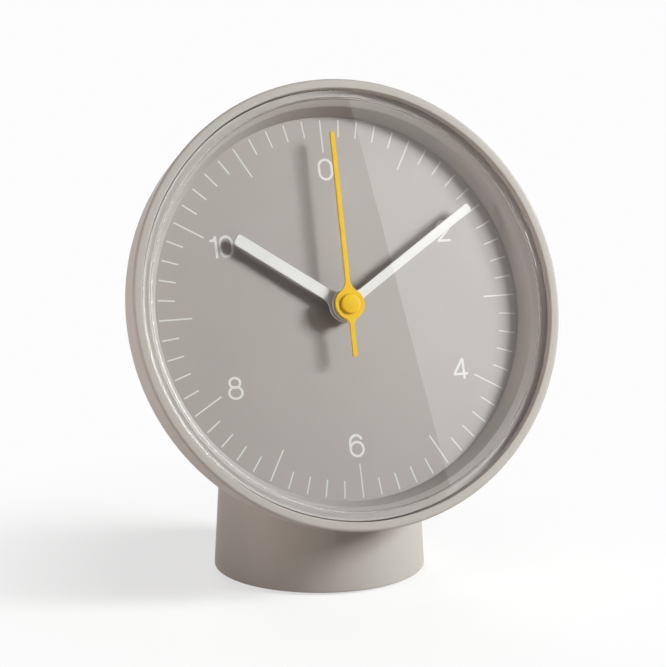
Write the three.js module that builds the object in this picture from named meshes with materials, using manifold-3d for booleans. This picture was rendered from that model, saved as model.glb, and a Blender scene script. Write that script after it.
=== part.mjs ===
// A round table clock: a shallow case with a tilted face on a short tapered foot.
// Millimetres, +Z up, the face towards -Y, the origin at the middle of the underside.
import * as THREE from 'three';
import { mergeVertices } from 'three/addons/utils/BufferGeometryUtils.js';
import Module from 'manifold-3d';

const wasm = await Module();
wasm.setup();

// Clearances
const FIT = 0.3; // between pieces that rest on each other
const RUN = 0.3; // round a turning arbor or pipe
const PRESS = 0.15; // round a pressed-on hub
const SCREW_FIT = 0.2; // round a screw's shank and head

// The stance of the face
const LEAN = 18; // degrees that the face leans back
const DIAL_HEIGHT = 89; // dial centre above the table
const DIAL_FORWARD = 18.5; // dial centre in front of the foot's axis

// Front case, a shallow pan
const CASE_RADIUS = 71;
const CASE_DRAFT = 6; // degrees
const CASE_FLOOR = 2.2;
const CASE_EDGE_ROUND = 1.5;
const RIM_WIDTH = 3.1;
const RIM_ROUND = 0.9;
const RIM_PROUD = 0.3; // rim in front of the lens

// Dial, and the ring round it that carries the lens
const DIAL_THICKNESS = 1;
const RING_FOOT_WIDTH = 6.7;
const RING_BREAK_WIDTH = 4.55; // where the steep wall breaks into the slope
const RING_LEDGE_WIDTH = 2.6;
const RING_WALL_HEIGHT = 5.7;
const RING_HEIGHT = 7.1;

// Lens, a clear plate in a lower border with a short skirt and three snap tabs
const LENS_PLATE = 1.4;
const LENS_SKIRT = 2.4;
const LENS_STEP_WIDTH = 2.4; // border that lies lower than the plate
const LENS_STEP_DEPTH = 0.7;
const LENS_BEVEL = 0.5;
const LENS_CLEARANCE = 0.7; // over the second hand's cap
const TAB_COUNT = 3;
const TAB_WIDTH = 5;
const TAB_HEIGHT = 1.2;
const TAB_REACH = 0.9;

// Hands
const HAND_RISE = 2.9; // hour hand above the dial
const HAND_STEP = 2; // from one hand to the next
const HAND_THICKNESS = 0.8;
const HOUR_ANGLE = 304.8; // degrees clockwise from the top
const HOUR_WIDTH = 3.8;
const HOUR_HUB_RADIUS = 5.3;
const HOUR_TIP_GAP = 20; // from the tip to the ring
const MINUTE_ANGLE = 57.8;
const MINUTE_WIDTH = 2.9;
const MINUTE_HUB_RADIUS = 5;
const MINUTE_TIP_GAP = 7;
const HAND_CORNER = 1; // round at a tip's corners
const SECOND_ANGLE = 0.8;
const SECOND_WIDTH = 1.5;
const SECOND_HUB_RADIUS = 4.9;
const SECOND_TIP_GAP = 6.4;
const SECOND_TAIL = 16.5;
const SECOND_FLARE = 1.6; // half width where blade and tail meet the hub
const SECOND_FLARE_LENGTH = 4;
const SECOND_FLARE_BEND = 1.3; // from the hub to the bend of the flare
const CAP_RADIUS = 3.1;
const CAP_HEIGHT = 0.6;
const CAP_CHAMFER = 0.25;
const CAP_STEM_RADIUS = 1.2;

// Pipes and arbors of the works, from the inside out
const SECOND_ARBOR_RADIUS = 0.5;
const MINUTE_TUBE_WALL = 0.7;
const HOUR_PIPE_WALL = 0.8;
const BUSHING_WALL = 1.3;
const TRAIN_ARBOR_RADIUS = 0.6;
const SETTING_ARBOR_RADIUS = 0.8;

// Wheel train: three arbors stand on one circle round the centre
const ARBOR_CIRCLE = 12.6;
const ROTOR_DISTANCE = 10.8; // rotor to intermediate arbor
const THIRD_ANGLE = 5; // degrees, anticlockwise from +X seen from the front
const INTERMEDIATE_ANGLE = 90;
const MOTION_ANGLE = 180;
const ROTOR_ANGLE = 30;
const FACE_WIDTH = 1.4;
const LAYER_GAP = 0.5;
const END_FLOAT = 0.4; // between the train and the plates
const WHEEL_CLEARANCE = 0.6; // between a wheel and a wall
const ADDENDUM = 0.8; // of the module
const DEDENDUM = 1.2;
const TIP_SHARE = 0.1; // half a tooth's tip and root, of its pitch
const ROOT_SHARE = 0.29;

// Stepping motor
const MAGNET_RADIUS = 3;
const MAGNET_LENGTH = 4;
const AIR_GAP = 0.5;
const LAMINATION = 0.8;
const STATOR_LENGTH = 22;
const STATOR_WIDTH = 9;
const CORE_WIDTH = 1.6;
const CORE_LEG_WIDTH = 3;
const COIL_OFFSET = 7.4; // coil axis above the rotor
const COIL_RADIUS = 2.3;
const COIL_LENGTH = 14;
const MOTOR_POST_RADIUS = 2.3;

// Circuit board
const BOARD_THICKNESS = 1;
const BOARD_HEIGHT = 12;
const BOARD_MARGIN = 1; // to the wheels and walls around it
const BOARD_POST_RADIUS = 1.5;
const STAKE_RADIUS = 0.7;
const STAKE_INSET = 2;
const CHIP_RADIUS = 2.4;
const CHIP_HEIGHT = 0.9;
const CHIP_TOP_RADIUS = 1.4;
const CHIP_EDGE = 0.3;
const CAN_RADIUS = 1;
const CAN_LENGTH = 6;

// Battery, one AA cell, and its contacts
const CELL_RADIUS = 7.25;
const CELL_LENGTH = 49.2;
const CELL_TIP_RADIUS = 2.7;
const CELL_TIP_LENGTH = 1.3;
const CONTACT_THICKNESS = 0.4;
const CONTACT_SIZE = 9;

// Case of the works
const PLATE = 1.5;
const WORKS_WALL = 1.4;
const PARTITION = 1.2;
const WORKS_SCREW_X = 23;
const WORKS_SCREW_BELOW = 8.5;
const WORKS_BOSS_RADIUS = 2.6;
const WORKS_BOSS_LENGTH = 5;

// Rear housing, a drum behind the case, and its cover
const HOUSING_WALL = 2.2;
const HOUSING_CLEARANCE = 0.8; // round the works' corners
const BOSS_RADIUS = 3.4;
const BOSS_SUNK = 0.8; // into the housing's wall
const REAR_COVER = 2.4;
const CELL_CLEARANCE = 0.6; // behind the battery
const DOOR_LIP = 1.6;
const DOOR_PANEL = 1.1;
const DOOR_MARGIN = 1; // opening past the battery
const DOOR_GRIP_WIDTH = 14;
const DOOR_GRIP_HEIGHT = 3;
const DOOR_GRIP_DEPTH = 0.6;
const KNOB_RADIUS = 6;
const KNOB_PROUD = 1;
const KNOB_GRIPS = 18;
const KNOB_GRIP_DEPTH = 0.5;
const KNOB_ROOM = 1; // round the knob in the cover
const KNOB_SKIRT = 0.6; // knob behind the works

// Foot, a hollow tapered column with a cradle for the housing
const FOOT_RADIUS = 34.4;
const FOOT_TAPER = 3.2; // degrees
const FOOT_EDGE = 0.6;
const FOOT_WALL = 2.6;
const CRADLE_DEPTH = 5;
const FOOT_SCREW_X = 13;
const FOOT_SEAT_RADIUS = 4.2;
const FOOT_SEAT_DEPTH = 1.4; // seat of a screw's head under the cradle
const HOUSING_BOSS_RADIUS = 3.2;
const HOUSING_BOSS_CLEARANCE = 1.5; // to the works
const PAD_THICKNESS = 1.6;
const PAD_PROUD = 0.8; // pad below the foot's rim
const PAD_INSET = 1;
const BASE_PLATE = 2;
const BASE_PLATE_EDGE = 0.8; // plate past its screws' heads
const BASE_BOSS_SUNK = 0.8;
const BASE_BOSS_HEIGHT = 14;
const BASE_BOSS_COUNT = 3;
const BALLAST_HEIGHT = 8;
const BALLAST_ROOM = 0.6; // round the ballast, to the bosses

// Screws
const SHANK_RADIUS = 1.25;
const HEAD_RADIUS = 2.5;
const HEAD_HEIGHT = 1.3;
const HEAD_CROWN = 1.9; // radius of a raised head's flat top
const HEAD_EDGE = 0.45;
const SLOT_WIDTH = 0.7;
const SLOT_DEPTH = 0.6;
const CASE_SCREW_LENGTH = 10;
const WORKS_SCREW_LENGTH = 8;
const COVER_SCREW_LENGTH = 10;
const FOOT_SCREW_LENGTH = 12;
const PLATE_SCREW_LENGTH = 10;
const BALLAST_SCREW_LENGTH = 7;
const MOTOR_SCREW_LENGTH = 4.5;

// Facets round a circle
const ROUND_LARGE = 60;
const ROUND_MEDIUM = 24;
const ROUND_SMALL = 10;
const ARC_STEPS = 2;

const BIG = 200; // larger than the clock, for half spaces

const finish = (color, roughness, metalness = 0) =>
  new THREE.MeshStandardMaterial({ color, roughness, metalness });
const greyPlastic = finish('#b3aaa2', 0.55);
const dialPaint = finish('#a9a19a', 0.6);
const clearAcrylic = finish('#f2f4f4', 0.05);
const whitePaint = finish('#f4f2ee', 0.45);
const yellowPaint = finish('#e6b416', 0.45);
const blackPlastic = finish('#26262a', 0.5);
const acetal = finish('#e8e4d8', 0.4);
const brass = finish('#c9a44c', 0.3, 1);
const steel = finish('#b8bbc0', 0.3, 1);
const magnetic = finish('#3c3d42', 0.5, 0.6);
const copper = finish('#b5653a', 0.35, 1);
const boardGreen = finish('#2f6b4a', 0.5);
const cellSleeve = finish('#3d4046', 0.35);
const rubber = finish('#2f2f31', 0.85);

// Closed outline [radius, z] turned about Z, from axis to axis or round on itself
function lathe(outline, sides = ROUND_LARGE) {
  const points = outline.map(([r, z]) => new THREE.Vector2(r, z));
  if (outline[0][0] > 0) points.push(points[0].clone());
  return new THREE.LatheGeometry(points, sides).rotateX(Math.PI / 2);
}

// Points [radius, z] of an arc round a centre, angles in degrees from the radial direction
function arc(r, z, radius, from, to, steps = ARC_STEPS) {
  const points = [];
  for (let i = 0; i <= steps; i += 1) {
    const angle = THREE.MathUtils.degToRad(from + ((to - from) * i) / steps);
    points.push([r + radius * Math.cos(angle), z + radius * Math.sin(angle)]);
  }
  return points;
}

// Rod along Z between two heights
function rod(radius, low, high, x = 0, y = 0, sides = ROUND_SMALL) {
  const geometry = new THREE.CylinderGeometry(radius, radius, high - low, sides);
  return geometry.rotateX(Math.PI / 2).translate(x, y, (low + high) / 2);
}

// Rod along Y between two places
function crossRod(radius, low, high, x, z, sides = ROUND_SMALL) {
  const geometry = new THREE.CylinderGeometry(radius, radius, high - low, sides);
  return geometry.translate(x, (low + high) / 2, z);
}

function block(x0, x1, y0, y1, z0, z1) {
  const geometry = new THREE.BoxGeometry(x1 - x0, y1 - y0, z1 - z0);
  return geometry.translate((x0 + x1) / 2, (y0 + y1) / 2, (z0 + z1) / 2);
}

function prism(shape, low, high, curveSegments = 6) {
  const options = { depth: high - low, bevelEnabled: false, curveSegments };
  return new THREE.ExtrudeGeometry(shape, options).translate(0, 0, low);
}

// Closed solid of a geometry, with its faces turned outwards
function solid(geometry) {
  const bare = geometry.clone();
  bare.deleteAttribute('normal');
  bare.deleteAttribute('uv');
  const merged = mergeVertices(bare, 1e-5);
  const place = merged.attributes.position;
  const index = merged.index.array;
  const corner = [new THREE.Vector3(), new THREE.Vector3(), new THREE.Vector3()];
  const triangles = [];
  let volume = 0;
  for (let i = 0; i < index.length; i += 3) {
    const [a, b, c] = index.slice(i, i + 3);
    if (a === b || b === c || c === a) continue;
    triangles.push([a, b, c]);
    corner.forEach((v, k) => v.fromBufferAttribute(place, [a, b, c][k]));
    volume += corner[0].dot(corner[1].cross(corner[2]));
  }
  if (volume < 0) triangles.forEach((t) => t.reverse());
  const vertProperties = Float32Array.from(place.array);
  const triVerts = Uint32Array.from(triangles.flat());
  return new wasm.Manifold(new wasm.Mesh({ numProp: 3, vertProperties, triVerts }));
}

function geometryOf(body) {
  const mesh = body.getMesh();
  const geometry = new THREE.BufferGeometry();
  geometry.setAttribute('position', new THREE.BufferAttribute(mesh.vertProperties, 3));
  geometry.setIndex(new THREE.BufferAttribute(mesh.triVerts, 1));
  return geometry;
}

const join = (...shapes) => geometryOf(shapes.map(solid).reduce((a, b) => a.add(b)));
const cut = (...shapes) => geometryOf(shapes.map(solid).reduce((a, b) => a.subtract(b)));
const meet = (...shapes) => geometryOf(shapes.map(solid).reduce((a, b) => a.intersect(b)));

const clock = new THREE.Group();
const head = new THREE.Group(); // in it, the dial's front is at z = 0 and +Z faces the reader
head.position.set(0, -DIAL_FORWARD, DIAL_HEIGHT);
head.rotation.x = THREE.MathUtils.degToRad(90 - LEAN);
head.updateMatrix();
clock.add(head);

function piece(parent, name, geometry, material) {
  const closed = join(geometry);
  closed.computeVertexNormals();
  const mesh = new THREE.Mesh(closed, material);
  mesh.name = name;
  parent.add(mesh);
  return mesh;
}

const radians = THREE.MathUtils.degToRad;
const at = (distance, degrees) => [
  distance * Math.cos(radians(degrees)),
  distance * Math.sin(radians(degrees)),
];

// Heights along the axis of the face
const hourBase = HAND_RISE;
const minuteBase = hourBase + HAND_STEP;
const secondBase = minuteBase + HAND_STEP;
const secondFront = secondBase + HAND_THICKNESS;
const capBase = secondFront + FIT;
const capFront = capBase + CAP_HEIGHT;
const lensBack = capFront + LENS_CLEARANCE;
const lensFront = lensBack + LENS_PLATE;
const rimFront = lensFront + RIM_PROUD;
const ringBase = FIT;
const ringTop = ringBase + RING_HEIGHT;
const floorFront = -DIAL_THICKNESS - FIT;
const floorBack = floorFront - CASE_FLOOR;
const worksFront = floorBack - FIT;
const plateBack = worksFront - PLATE;
// Layers of the train, counted from the plate behind the dial
const LAYER = { hour: 0, motion: 1, minute: 2, third: 3, second: 4, intermediate: 5 };
const layerFront = (layer) => plateBack - END_FLOAT - layer * (FACE_WIDTH + LAYER_GAP);
const layerBack = (layer) => layerFront(layer) - FACE_WIDTH;
const wallBack = layerBack(LAYER.intermediate) - END_FLOAT;
const lidFront = wallBack - FIT;
const lidBack = lidFront - PLATE;
const cellAxis = plateBack - FIT - CELL_RADIUS;
const coverFront = Math.min(cellAxis - CELL_RADIUS, lidBack) - CELL_CLEARANCE;
const coverBack = coverFront - REAR_COVER;
const housingFront = floorBack - FIT;
const housingBack = coverFront + FIT;
const housingMiddle = (housingFront + housingBack) / 2;

// Radii round the axis of the face
const caseInner = CASE_RADIUS - RIM_WIDTH;
const innerFit = caseInner - FIT;
const ringInner = innerFit - RING_FOOT_WIDTH;
const caseBackRadius = CASE_RADIUS - (rimFront - floorBack) * Math.tan(radians(CASE_DRAFT));
const minuteBore = SECOND_ARBOR_RADIUS + RUN;
const minuteTube = minuteBore + MINUTE_TUBE_WALL;
const hourBore = minuteTube + RUN;
const hourPipe = hourBore + HOUR_PIPE_WALL;
const bushingBore = hourPipe + RUN;
const bushingRadius = bushingBore + BUSHING_WALL;

// Each wheel of the train, its teeth and its module
const moduleOf = (distance, teethA, teethB) => (2 * distance) / (teethA + teethB);
const TEETH = {
  cannon: 8,
  motionWheel: 24,
  motionPinion: 8,
  hourWheel: 32,
  secondPinion: 6,
  thirdWheel: 45,
  thirdPinion: 6,
  minuteWheel: 48,
  intermediatePinion: 6,
  secondWheel: 30,
  rotorPinion: 6,
  intermediateWheel: 36,
};
const motionModule = moduleOf(ARBOR_CIRCLE, TEETH.cannon, TEETH.motionWheel);
const hourModule = moduleOf(ARBOR_CIRCLE, TEETH.motionPinion, TEETH.hourWheel);
const thirdModule = moduleOf(ARBOR_CIRCLE, TEETH.secondPinion, TEETH.thirdWheel);
const minuteModule = moduleOf(ARBOR_CIRCLE, TEETH.thirdPinion, TEETH.minuteWheel);
const secondModule = moduleOf(ARBOR_CIRCLE, TEETH.intermediatePinion, TEETH.secondWheel);
const rotorModule = moduleOf(ROTOR_DISTANCE, TEETH.rotorPinion, TEETH.intermediateWheel);
const tipRadius = (teeth, module) => (teeth / 2 + ADDENDUM) * module;

const thirdArbor = at(ARBOR_CIRCLE, THIRD_ANGLE);
const intermediateArbor = at(ARBOR_CIRCLE, INTERMEDIATE_ANGLE);
const motionArbor = at(ARBOR_CIRCLE, MOTION_ANGLE);
const rotorStep = at(ROTOR_DISTANCE, ROTOR_ANGLE);
const rotorArbor = [intermediateArbor[0] + rotorStep[0], intermediateArbor[1] + rotorStep[1]];

// Room inside the works
const minuteTip = tipRadius(TEETH.minuteWheel, minuteModule);
const partitionTop = -minuteTip - WHEEL_CLEARANCE;
const partitionBottom = partitionTop - PARTITION;
const cellY = partitionBottom - FIT - CELL_RADIUS;
const roomBottom = cellY - CELL_RADIUS - FIT;
const coilY = rotorArbor[1] + COIL_OFFSET;
const roomTop = coilY + COIL_RADIUS + FIT;
const cellHalf = (CELL_LENGTH + CELL_TIP_LENGTH) / 2;
const cellRoom = cellHalf + FIT + CONTACT_THICKNESS + FIT;
const thirdReach = thirdArbor[0] + tipRadius(TEETH.thirdWheel, thirdModule);
const roomHalf = Math.max(cellRoom, thirdReach + WHEEL_CLEARANCE);
const worksHalf = roomHalf + WORKS_WALL;
const worksTop = roomTop + WORKS_WALL;
const worksBottom = roomBottom - WORKS_WALL;

// Rear housing
const worksReach = Math.hypot(worksHalf, Math.max(worksTop, -worksBottom));
const housingInner = worksReach + HOUSING_CLEARANCE;
const housingRadius = housingInner + HOUSING_WALL;
const bossCircle = housingInner + BOSS_SUNK - BOSS_RADIUS;
const bossPlaces = [0, 90, 180, 270].map((angle) => at(bossCircle, angle));
const worksScrews = [-1, 1].map((side) => [side * WORKS_SCREW_X, -WORKS_SCREW_BELOW]);

const shankHole = SHANK_RADIUS + SCREW_FIT;
const headHole = HEAD_RADIUS + SCREW_FIT;

// Cone under a countersunk head, opening towards +Z at its face
function countersink(face, x, y) {
  const outline = [
    [0, face - HEAD_HEIGHT - SCREW_FIT],
    [shankHole, face - HEAD_HEIGHT - SCREW_FIT],
    [headHole, face - SCREW_FIT],
    [headHole, face + FIT],
    [0, face + FIT],
  ];
  return lathe(outline, ROUND_SMALL).translate(x, y, 0);
}

function frontCase() {
  const backMiddle = [caseBackRadius - CASE_EDGE_ROUND, floorBack + CASE_EDGE_ROUND];
  const backEdge = arc(...backMiddle, CASE_EDGE_ROUND, -90, -CASE_DRAFT);
  const rimMiddle = [CASE_RADIUS - RIM_ROUND, rimFront - RIM_ROUND];
  const rimEdge = arc(...rimMiddle, RIM_ROUND, -CASE_DRAFT, 90);
  const wall = lathe([
    [bushingRadius + FIT, floorBack],
    ...backEdge,
    ...rimEdge,
    [caseInner + RIM_ROUND / 2, rimFront],
    [caseInner, rimFront - RIM_ROUND / 2],
    [caseInner, floorFront],
    [bushingRadius + FIT, floorFront],
  ]);
  const holes = [...bossPlaces, ...worksScrews].flatMap(([x, y]) => [
    rod(shankHole, floorBack - FIT, floorFront, x, y),
    countersink(floorFront, x, y),
  ]);
  const pockets = tabs(innerFit - LENS_SKIRT, TAB_REACH + FIT + LENS_SKIRT, FIT);
  return cut(wall, ...holes, ...pockets);
}

// Snap tabs of the lens, or with some room the pockets that take them
function tabs(from, reach, room) {
  const middle = (ringTop + lensFront - LENS_BEVEL) / 2;
  const shapes = [];
  for (let i = 0; i < TAB_COUNT; i += 1) {
    const half = TAB_WIDTH / 2 + room;
    const rise = TAB_HEIGHT / 2 + room;
    const tab = block(-half, half, from, from + reach, middle - rise, middle + rise);
    shapes.push(tab.rotateZ((i * 2 * Math.PI) / TAB_COUNT));
  }
  return shapes;
}

function lens() {
  const skirtBase = ringTop + FIT;
  const skirtInner = innerFit - LENS_SKIRT;
  const stepRadius = innerFit - LENS_STEP_WIDTH;
  const borderFront = lensFront - LENS_STEP_DEPTH;
  const shell = lathe([
    [0, lensBack],
    [skirtInner - LENS_PLATE / 2, lensBack],
    [skirtInner, lensBack - LENS_PLATE / 2],
    [skirtInner, skirtBase],
    [innerFit, skirtBase],
    [innerFit, borderFront - LENS_BEVEL],
    [innerFit - LENS_BEVEL, borderFront],
    [stepRadius, borderFront],
    [stepRadius, lensFront],
    [0, lensFront],
  ]);
  return join(shell, ...tabs(innerFit - LENS_SKIRT / 2, LENS_SKIRT / 2 + TAB_REACH, 0));
}

function dialRing() {
  return lathe([
    [ringInner, ringBase],
    [innerFit, ringBase],
    [innerFit, ringTop],
    [innerFit - RING_LEDGE_WIDTH, ringTop],
    [innerFit - RING_BREAK_WIDTH, ringBase + RING_WALL_HEIGHT],
  ]);
}

function dial() {
  const bore = hourPipe + RUN;
  return lathe([
    [bore, -DIAL_THICKNESS],
    [innerFit, -DIAL_THICKNESS],
    [innerFit, 0],
    [bore, 0],
  ]);
}

// Straight hand pointing up: a round hub and a blade with round corners
function bladeOutline(hub, width, length, bore) {
  const half = width / 2;
  const corner = Math.min(HAND_CORNER, half);
  const rootAngle = Math.asin(half / hub);
  const outline = new THREE.Shape();
  outline.absarc(0, 0, hub, Math.PI / 2 + rootAngle, Math.PI * 2.5 - rootAngle, false);
  outline.lineTo(half, length - corner);
  outline.absarc(half - corner, length - corner, corner, 0, Math.PI / 2, false);
  outline.absarc(corner - half, length - corner, corner, Math.PI / 2, Math.PI, false);
  outline.closePath();
  outline.holes.push(new THREE.Path().absarc(0, 0, bore, 0, Math.PI * 2, true));
  return outline;
}

// Second hand pointing up: a disc with a slim blade and a tail, both flared at the disc
function secondOutline() {
  const half = SECOND_WIDTH / 2;
  const length = ringInner - SECOND_TIP_GAP;
  const rootAngle = Math.asin(SECOND_FLARE / SECOND_HUB_RADIUS);
  const root = SECOND_HUB_RADIUS * Math.cos(rootAngle);
  const bend = root + SECOND_FLARE_BEND;
  const neck = root + SECOND_FLARE_LENGTH;
  const outline = new THREE.Shape();
  outline.absarc(0, 0, SECOND_HUB_RADIUS, rootAngle - Math.PI / 2, Math.PI / 2 - rootAngle, false);
  outline.quadraticCurveTo(half, bend, half, neck);
  outline.lineTo(half, length);
  outline.lineTo(-half, length);
  outline.lineTo(-half, neck);
  outline.quadraticCurveTo(-half, bend, -SECOND_FLARE, root);
  outline.absarc(0, 0, SECOND_HUB_RADIUS, Math.PI / 2 + rootAngle, Math.PI * 1.5 - rootAngle, false);
  outline.quadraticCurveTo(-half, -bend, -half, -neck);
  outline.lineTo(-half, -SECOND_TAIL);
  outline.lineTo(half, -SECOND_TAIL);
  outline.lineTo(half, -neck);
  outline.quadraticCurveTo(half, -bend, SECOND_FLARE, -root);
  const bore = CAP_STEM_RADIUS + PRESS;
  outline.holes.push(new THREE.Path().absarc(0, 0, bore, 0, Math.PI * 2, true));
  return outline;
}

function hourHand() {
  const length = ringInner - HOUR_TIP_GAP;
  const outline = bladeOutline(HOUR_HUB_RADIUS, HOUR_WIDTH, length, hourPipe + PRESS);
  return prism(outline, hourBase, hourBase + HAND_THICKNESS, 8);
}

function minuteHand() {
  const length = ringInner - MINUTE_TIP_GAP;
  const outline = bladeOutline(MINUTE_HUB_RADIUS, MINUTE_WIDTH, length, minuteTube + PRESS);
  return prism(outline, minuteBase, minuteBase + HAND_THICKNESS, 8);
}

// Cap with a hollow stem that is pressed on the seconds arbor
function secondCap() {
  const bore = SECOND_ARBOR_RADIUS + PRESS;
  const stemBase = minuteBase + HAND_THICKNESS + FIT;
  return lathe(
    [
      [0, capBase],
      [bore, capBase],
      [bore, stemBase],
      [CAP_STEM_RADIUS, stemBase],
      [CAP_STEM_RADIUS, capBase],
      [CAP_RADIUS, capBase],
      [CAP_RADIUS, capFront - CAP_CHAMFER],
      [CAP_RADIUS - CAP_CHAMFER, capFront],
      [0, capFront],
    ],
    ROUND_MEDIUM,
  );
}

// Toothed disc, with the middle of one tooth at the phase angle
function gear(teeth, module, phase, layer, bore = 0) {
  const root = (teeth / 2 - DEDENDUM) * module;
  const tip = tipRadius(teeth, module);
  const pitch = (2 * Math.PI) / teeth;
  const outline = new THREE.Shape();
  for (let i = 0; i < teeth; i += 1) {
    const middle = phase + i * pitch;
    const flank = [
      [root, middle - ROOT_SHARE * pitch],
      [tip, middle - TIP_SHARE * pitch],
      [tip, middle + TIP_SHARE * pitch],
      [root, middle + ROOT_SHARE * pitch],
    ];
    flank.forEach(([r, angle], k) => {
      const point = [r * Math.cos(angle), r * Math.sin(angle)];
      if (i === 0 && k === 0) outline.moveTo(...point);
      else outline.lineTo(...point);
    });
  }
  outline.closePath();
  if (bore > 0) outline.holes.push(new THREE.Path().absarc(0, 0, bore, 0, Math.PI * 2, true));
  return prism(outline, layerBack(layer), layerFront(layer), 4);
}

// A gear shows a tooth, or a gap, towards the place given in degrees
const toothAt = (degrees) => radians(degrees);
const gapAt = (degrees, teeth) => radians(degrees) + Math.PI / teeth;

const pivotFront = plateBack + PLATE - FIT;
const pivotBack = lidBack + FIT;

function hourWheel() {
  const pipe = lathe(
    [
      [hourBore, layerBack(LAYER.hour)],
      [hourPipe, layerBack(LAYER.hour)],
      [hourPipe, hourBase + HAND_THICKNESS],
      [hourBore, hourBase + HAND_THICKNESS],
    ],
    ROUND_MEDIUM,
  );
  const phase = gapAt(MOTION_ANGLE, TEETH.hourWheel);
  const bore = (hourBore + hourPipe) / 2;
  return join(pipe, gear(TEETH.hourWheel, hourModule, phase, LAYER.hour, bore));
}

function minuteWheel() {
  const tube = lathe(
    [
      [minuteBore, layerBack(LAYER.minute)],
      [minuteTube, layerBack(LAYER.minute)],
      [minuteTube, minuteBase + HAND_THICKNESS],
      [minuteBore, minuteBase + HAND_THICKNESS],
    ],
    ROUND_MEDIUM,
  );
  const bore = (minuteBore + minuteTube) / 2;
  const wheelPhase = gapAt(THIRD_ANGLE, TEETH.minuteWheel);
  const cannonPhase = toothAt(MOTION_ANGLE);
  const wheel = gear(TEETH.minuteWheel, minuteModule, wheelPhase, LAYER.minute, bore);
  const cannon = gear(TEETH.cannon, motionModule, cannonPhase, LAYER.motion, bore);
  const collar = lathe(
    [
      [bore, layerFront(LAYER.minute)],
      [minuteTube + RUN, layerFront(LAYER.minute)],
      [minuteTube + RUN, layerBack(LAYER.motion)],
      [bore, layerBack(LAYER.motion)],
    ],
    ROUND_MEDIUM,
  );
  return join(tube, wheel, collar, cannon);
}

function secondWheel() {
  const arbor = rod(SECOND_ARBOR_RADIUS, pivotBack, capBase - FIT);
  const pinion = gear(TEETH.secondPinion, thirdModule, toothAt(THIRD_ANGLE), LAYER.third);
  const phase = gapAt(INTERMEDIATE_ANGLE, TEETH.secondWheel);
  const wheel = gear(TEETH.secondWheel, secondModule, phase, LAYER.second);
  const collar = rod(TRAIN_ARBOR_RADIUS, layerFront(LAYER.second), layerBack(LAYER.third));
  return join(arbor, collar, pinion, wheel);
}

function thirdWheel() {
  const arbor = rod(TRAIN_ARBOR_RADIUS, pivotBack, pivotFront);
  const facing = THIRD_ANGLE + 180;
  const phase = gapAt(facing, TEETH.thirdWheel);
  const wheel = gear(TEETH.thirdWheel, thirdModule, phase, LAYER.third);
  const pinion = gear(TEETH.thirdPinion, minuteModule, toothAt(facing), LAYER.minute);
  return join(arbor, wheel, pinion).translate(...thirdArbor, 0);
}

function intermediateWheel() {
  const arbor = rod(TRAIN_ARBOR_RADIUS, pivotBack, pivotFront);
  const facing = toothAt(INTERMEDIATE_ANGLE + 180);
  const pinion = gear(TEETH.intermediatePinion, secondModule, facing, LAYER.second);
  const phase = gapAt(ROTOR_ANGLE, TEETH.intermediateWheel);
  const wheel = gear(TEETH.intermediateWheel, rotorModule, phase, LAYER.intermediate);
  return join(arbor, pinion, wheel).translate(...intermediateArbor, 0);
}

const knobFront = lidBack - KNOB_SKIRT;
const knobBack = coverBack - KNOB_PROUD;

function motionWheel() {
  const settingEnd = (knobFront + knobBack) / 2;
  const arbor = rod(SETTING_ARBOR_RADIUS, settingEnd, pivotFront);
  const facing = MOTION_ANGLE + 180;
  const phase = gapAt(facing, TEETH.motionWheel);
  const wheel = gear(TEETH.motionWheel, motionModule, phase, LAYER.motion);
  const pinion = gear(TEETH.motionPinion, hourModule, toothAt(facing), LAYER.hour);
  return join(arbor, wheel, pinion).translate(...motionArbor, 0);
}

// Ribbed knob with a blind bore for the setting arbor
function setKnob() {
  const outline = new THREE.Shape();
  const pitch = 360 / KNOB_GRIPS;
  for (let i = 0; i < KNOB_GRIPS; i += 1) {
    const ridge = at(KNOB_RADIUS, i * pitch);
    const valley = at(KNOB_RADIUS - KNOB_GRIP_DEPTH, i * pitch + pitch / 2);
    if (i === 0) outline.moveTo(...ridge);
    else outline.lineTo(...ridge);
    outline.lineTo(...valley);
  }
  outline.closePath();
  const bore = rod(SETTING_ARBOR_RADIUS + PRESS, (knobFront + knobBack) / 2 - FIT, knobFront + FIT);
  return cut(prism(outline, knobBack, knobFront), bore).translate(...motionArbor, 0);
}

// Magnet and pinion of the rotor on one arbor
const statorFront = layerFront(LAYER.third);
const statorBack = statorFront - LAMINATION;
const coreBack = statorFront + FIT;
const coreFront = coreBack + LAMINATION;
const magnetFront = (statorFront + statorBack + MAGNET_LENGTH) / 2;
const magnetBack = magnetFront - MAGNET_LENGTH;

function rotorPinion() {
  const arbor = rod(TRAIN_ARBOR_RADIUS, pivotBack, pivotFront);
  const pinion = gear(TEETH.rotorPinion, rotorModule, toothAt(ROTOR_ANGLE + 180), LAYER.intermediate);
  return join(arbor, pinion).translate(...rotorArbor, 0);
}

function rotorMagnet() {
  const bore = TRAIN_ARBOR_RADIUS + PRESS;
  const ring = lathe(
    [
      [bore, magnetBack],
      [MAGNET_RADIUS, magnetBack],
      [MAGNET_RADIUS, magnetFront],
      [bore, magnetFront],
    ],
    ROUND_MEDIUM,
  );
  return ring.translate(...rotorArbor, 0);
}

const motorLeft = rotorArbor[0] - STATOR_LENGTH / 2;
const motorRight = rotorArbor[0] + STATOR_LENGTH / 2;
const motorScrews = [motorLeft, motorRight].map((x, side) => [
  side === 0 ? x + CORE_LEG_WIDTH / 2 : x - CORE_LEG_WIDTH / 2,
  rotorArbor[1],
]);

// Lamination with a round window for the rotor
function stator() {
  const [, y] = rotorArbor;
  const half = STATOR_WIDTH / 2;
  const bar = block(motorLeft, motorRight, y - half, y + half, statorBack, statorFront);
  const ends = [statorBack - FIT, statorFront + FIT];
  const window = rod(MAGNET_RADIUS + AIR_GAP, ...ends, ...rotorArbor, ROUND_MEDIUM);
  const holes = motorScrews.map((place) => rod(shankHole, ...ends, ...place));
  return cut(bar, window, ...holes);
}

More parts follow.
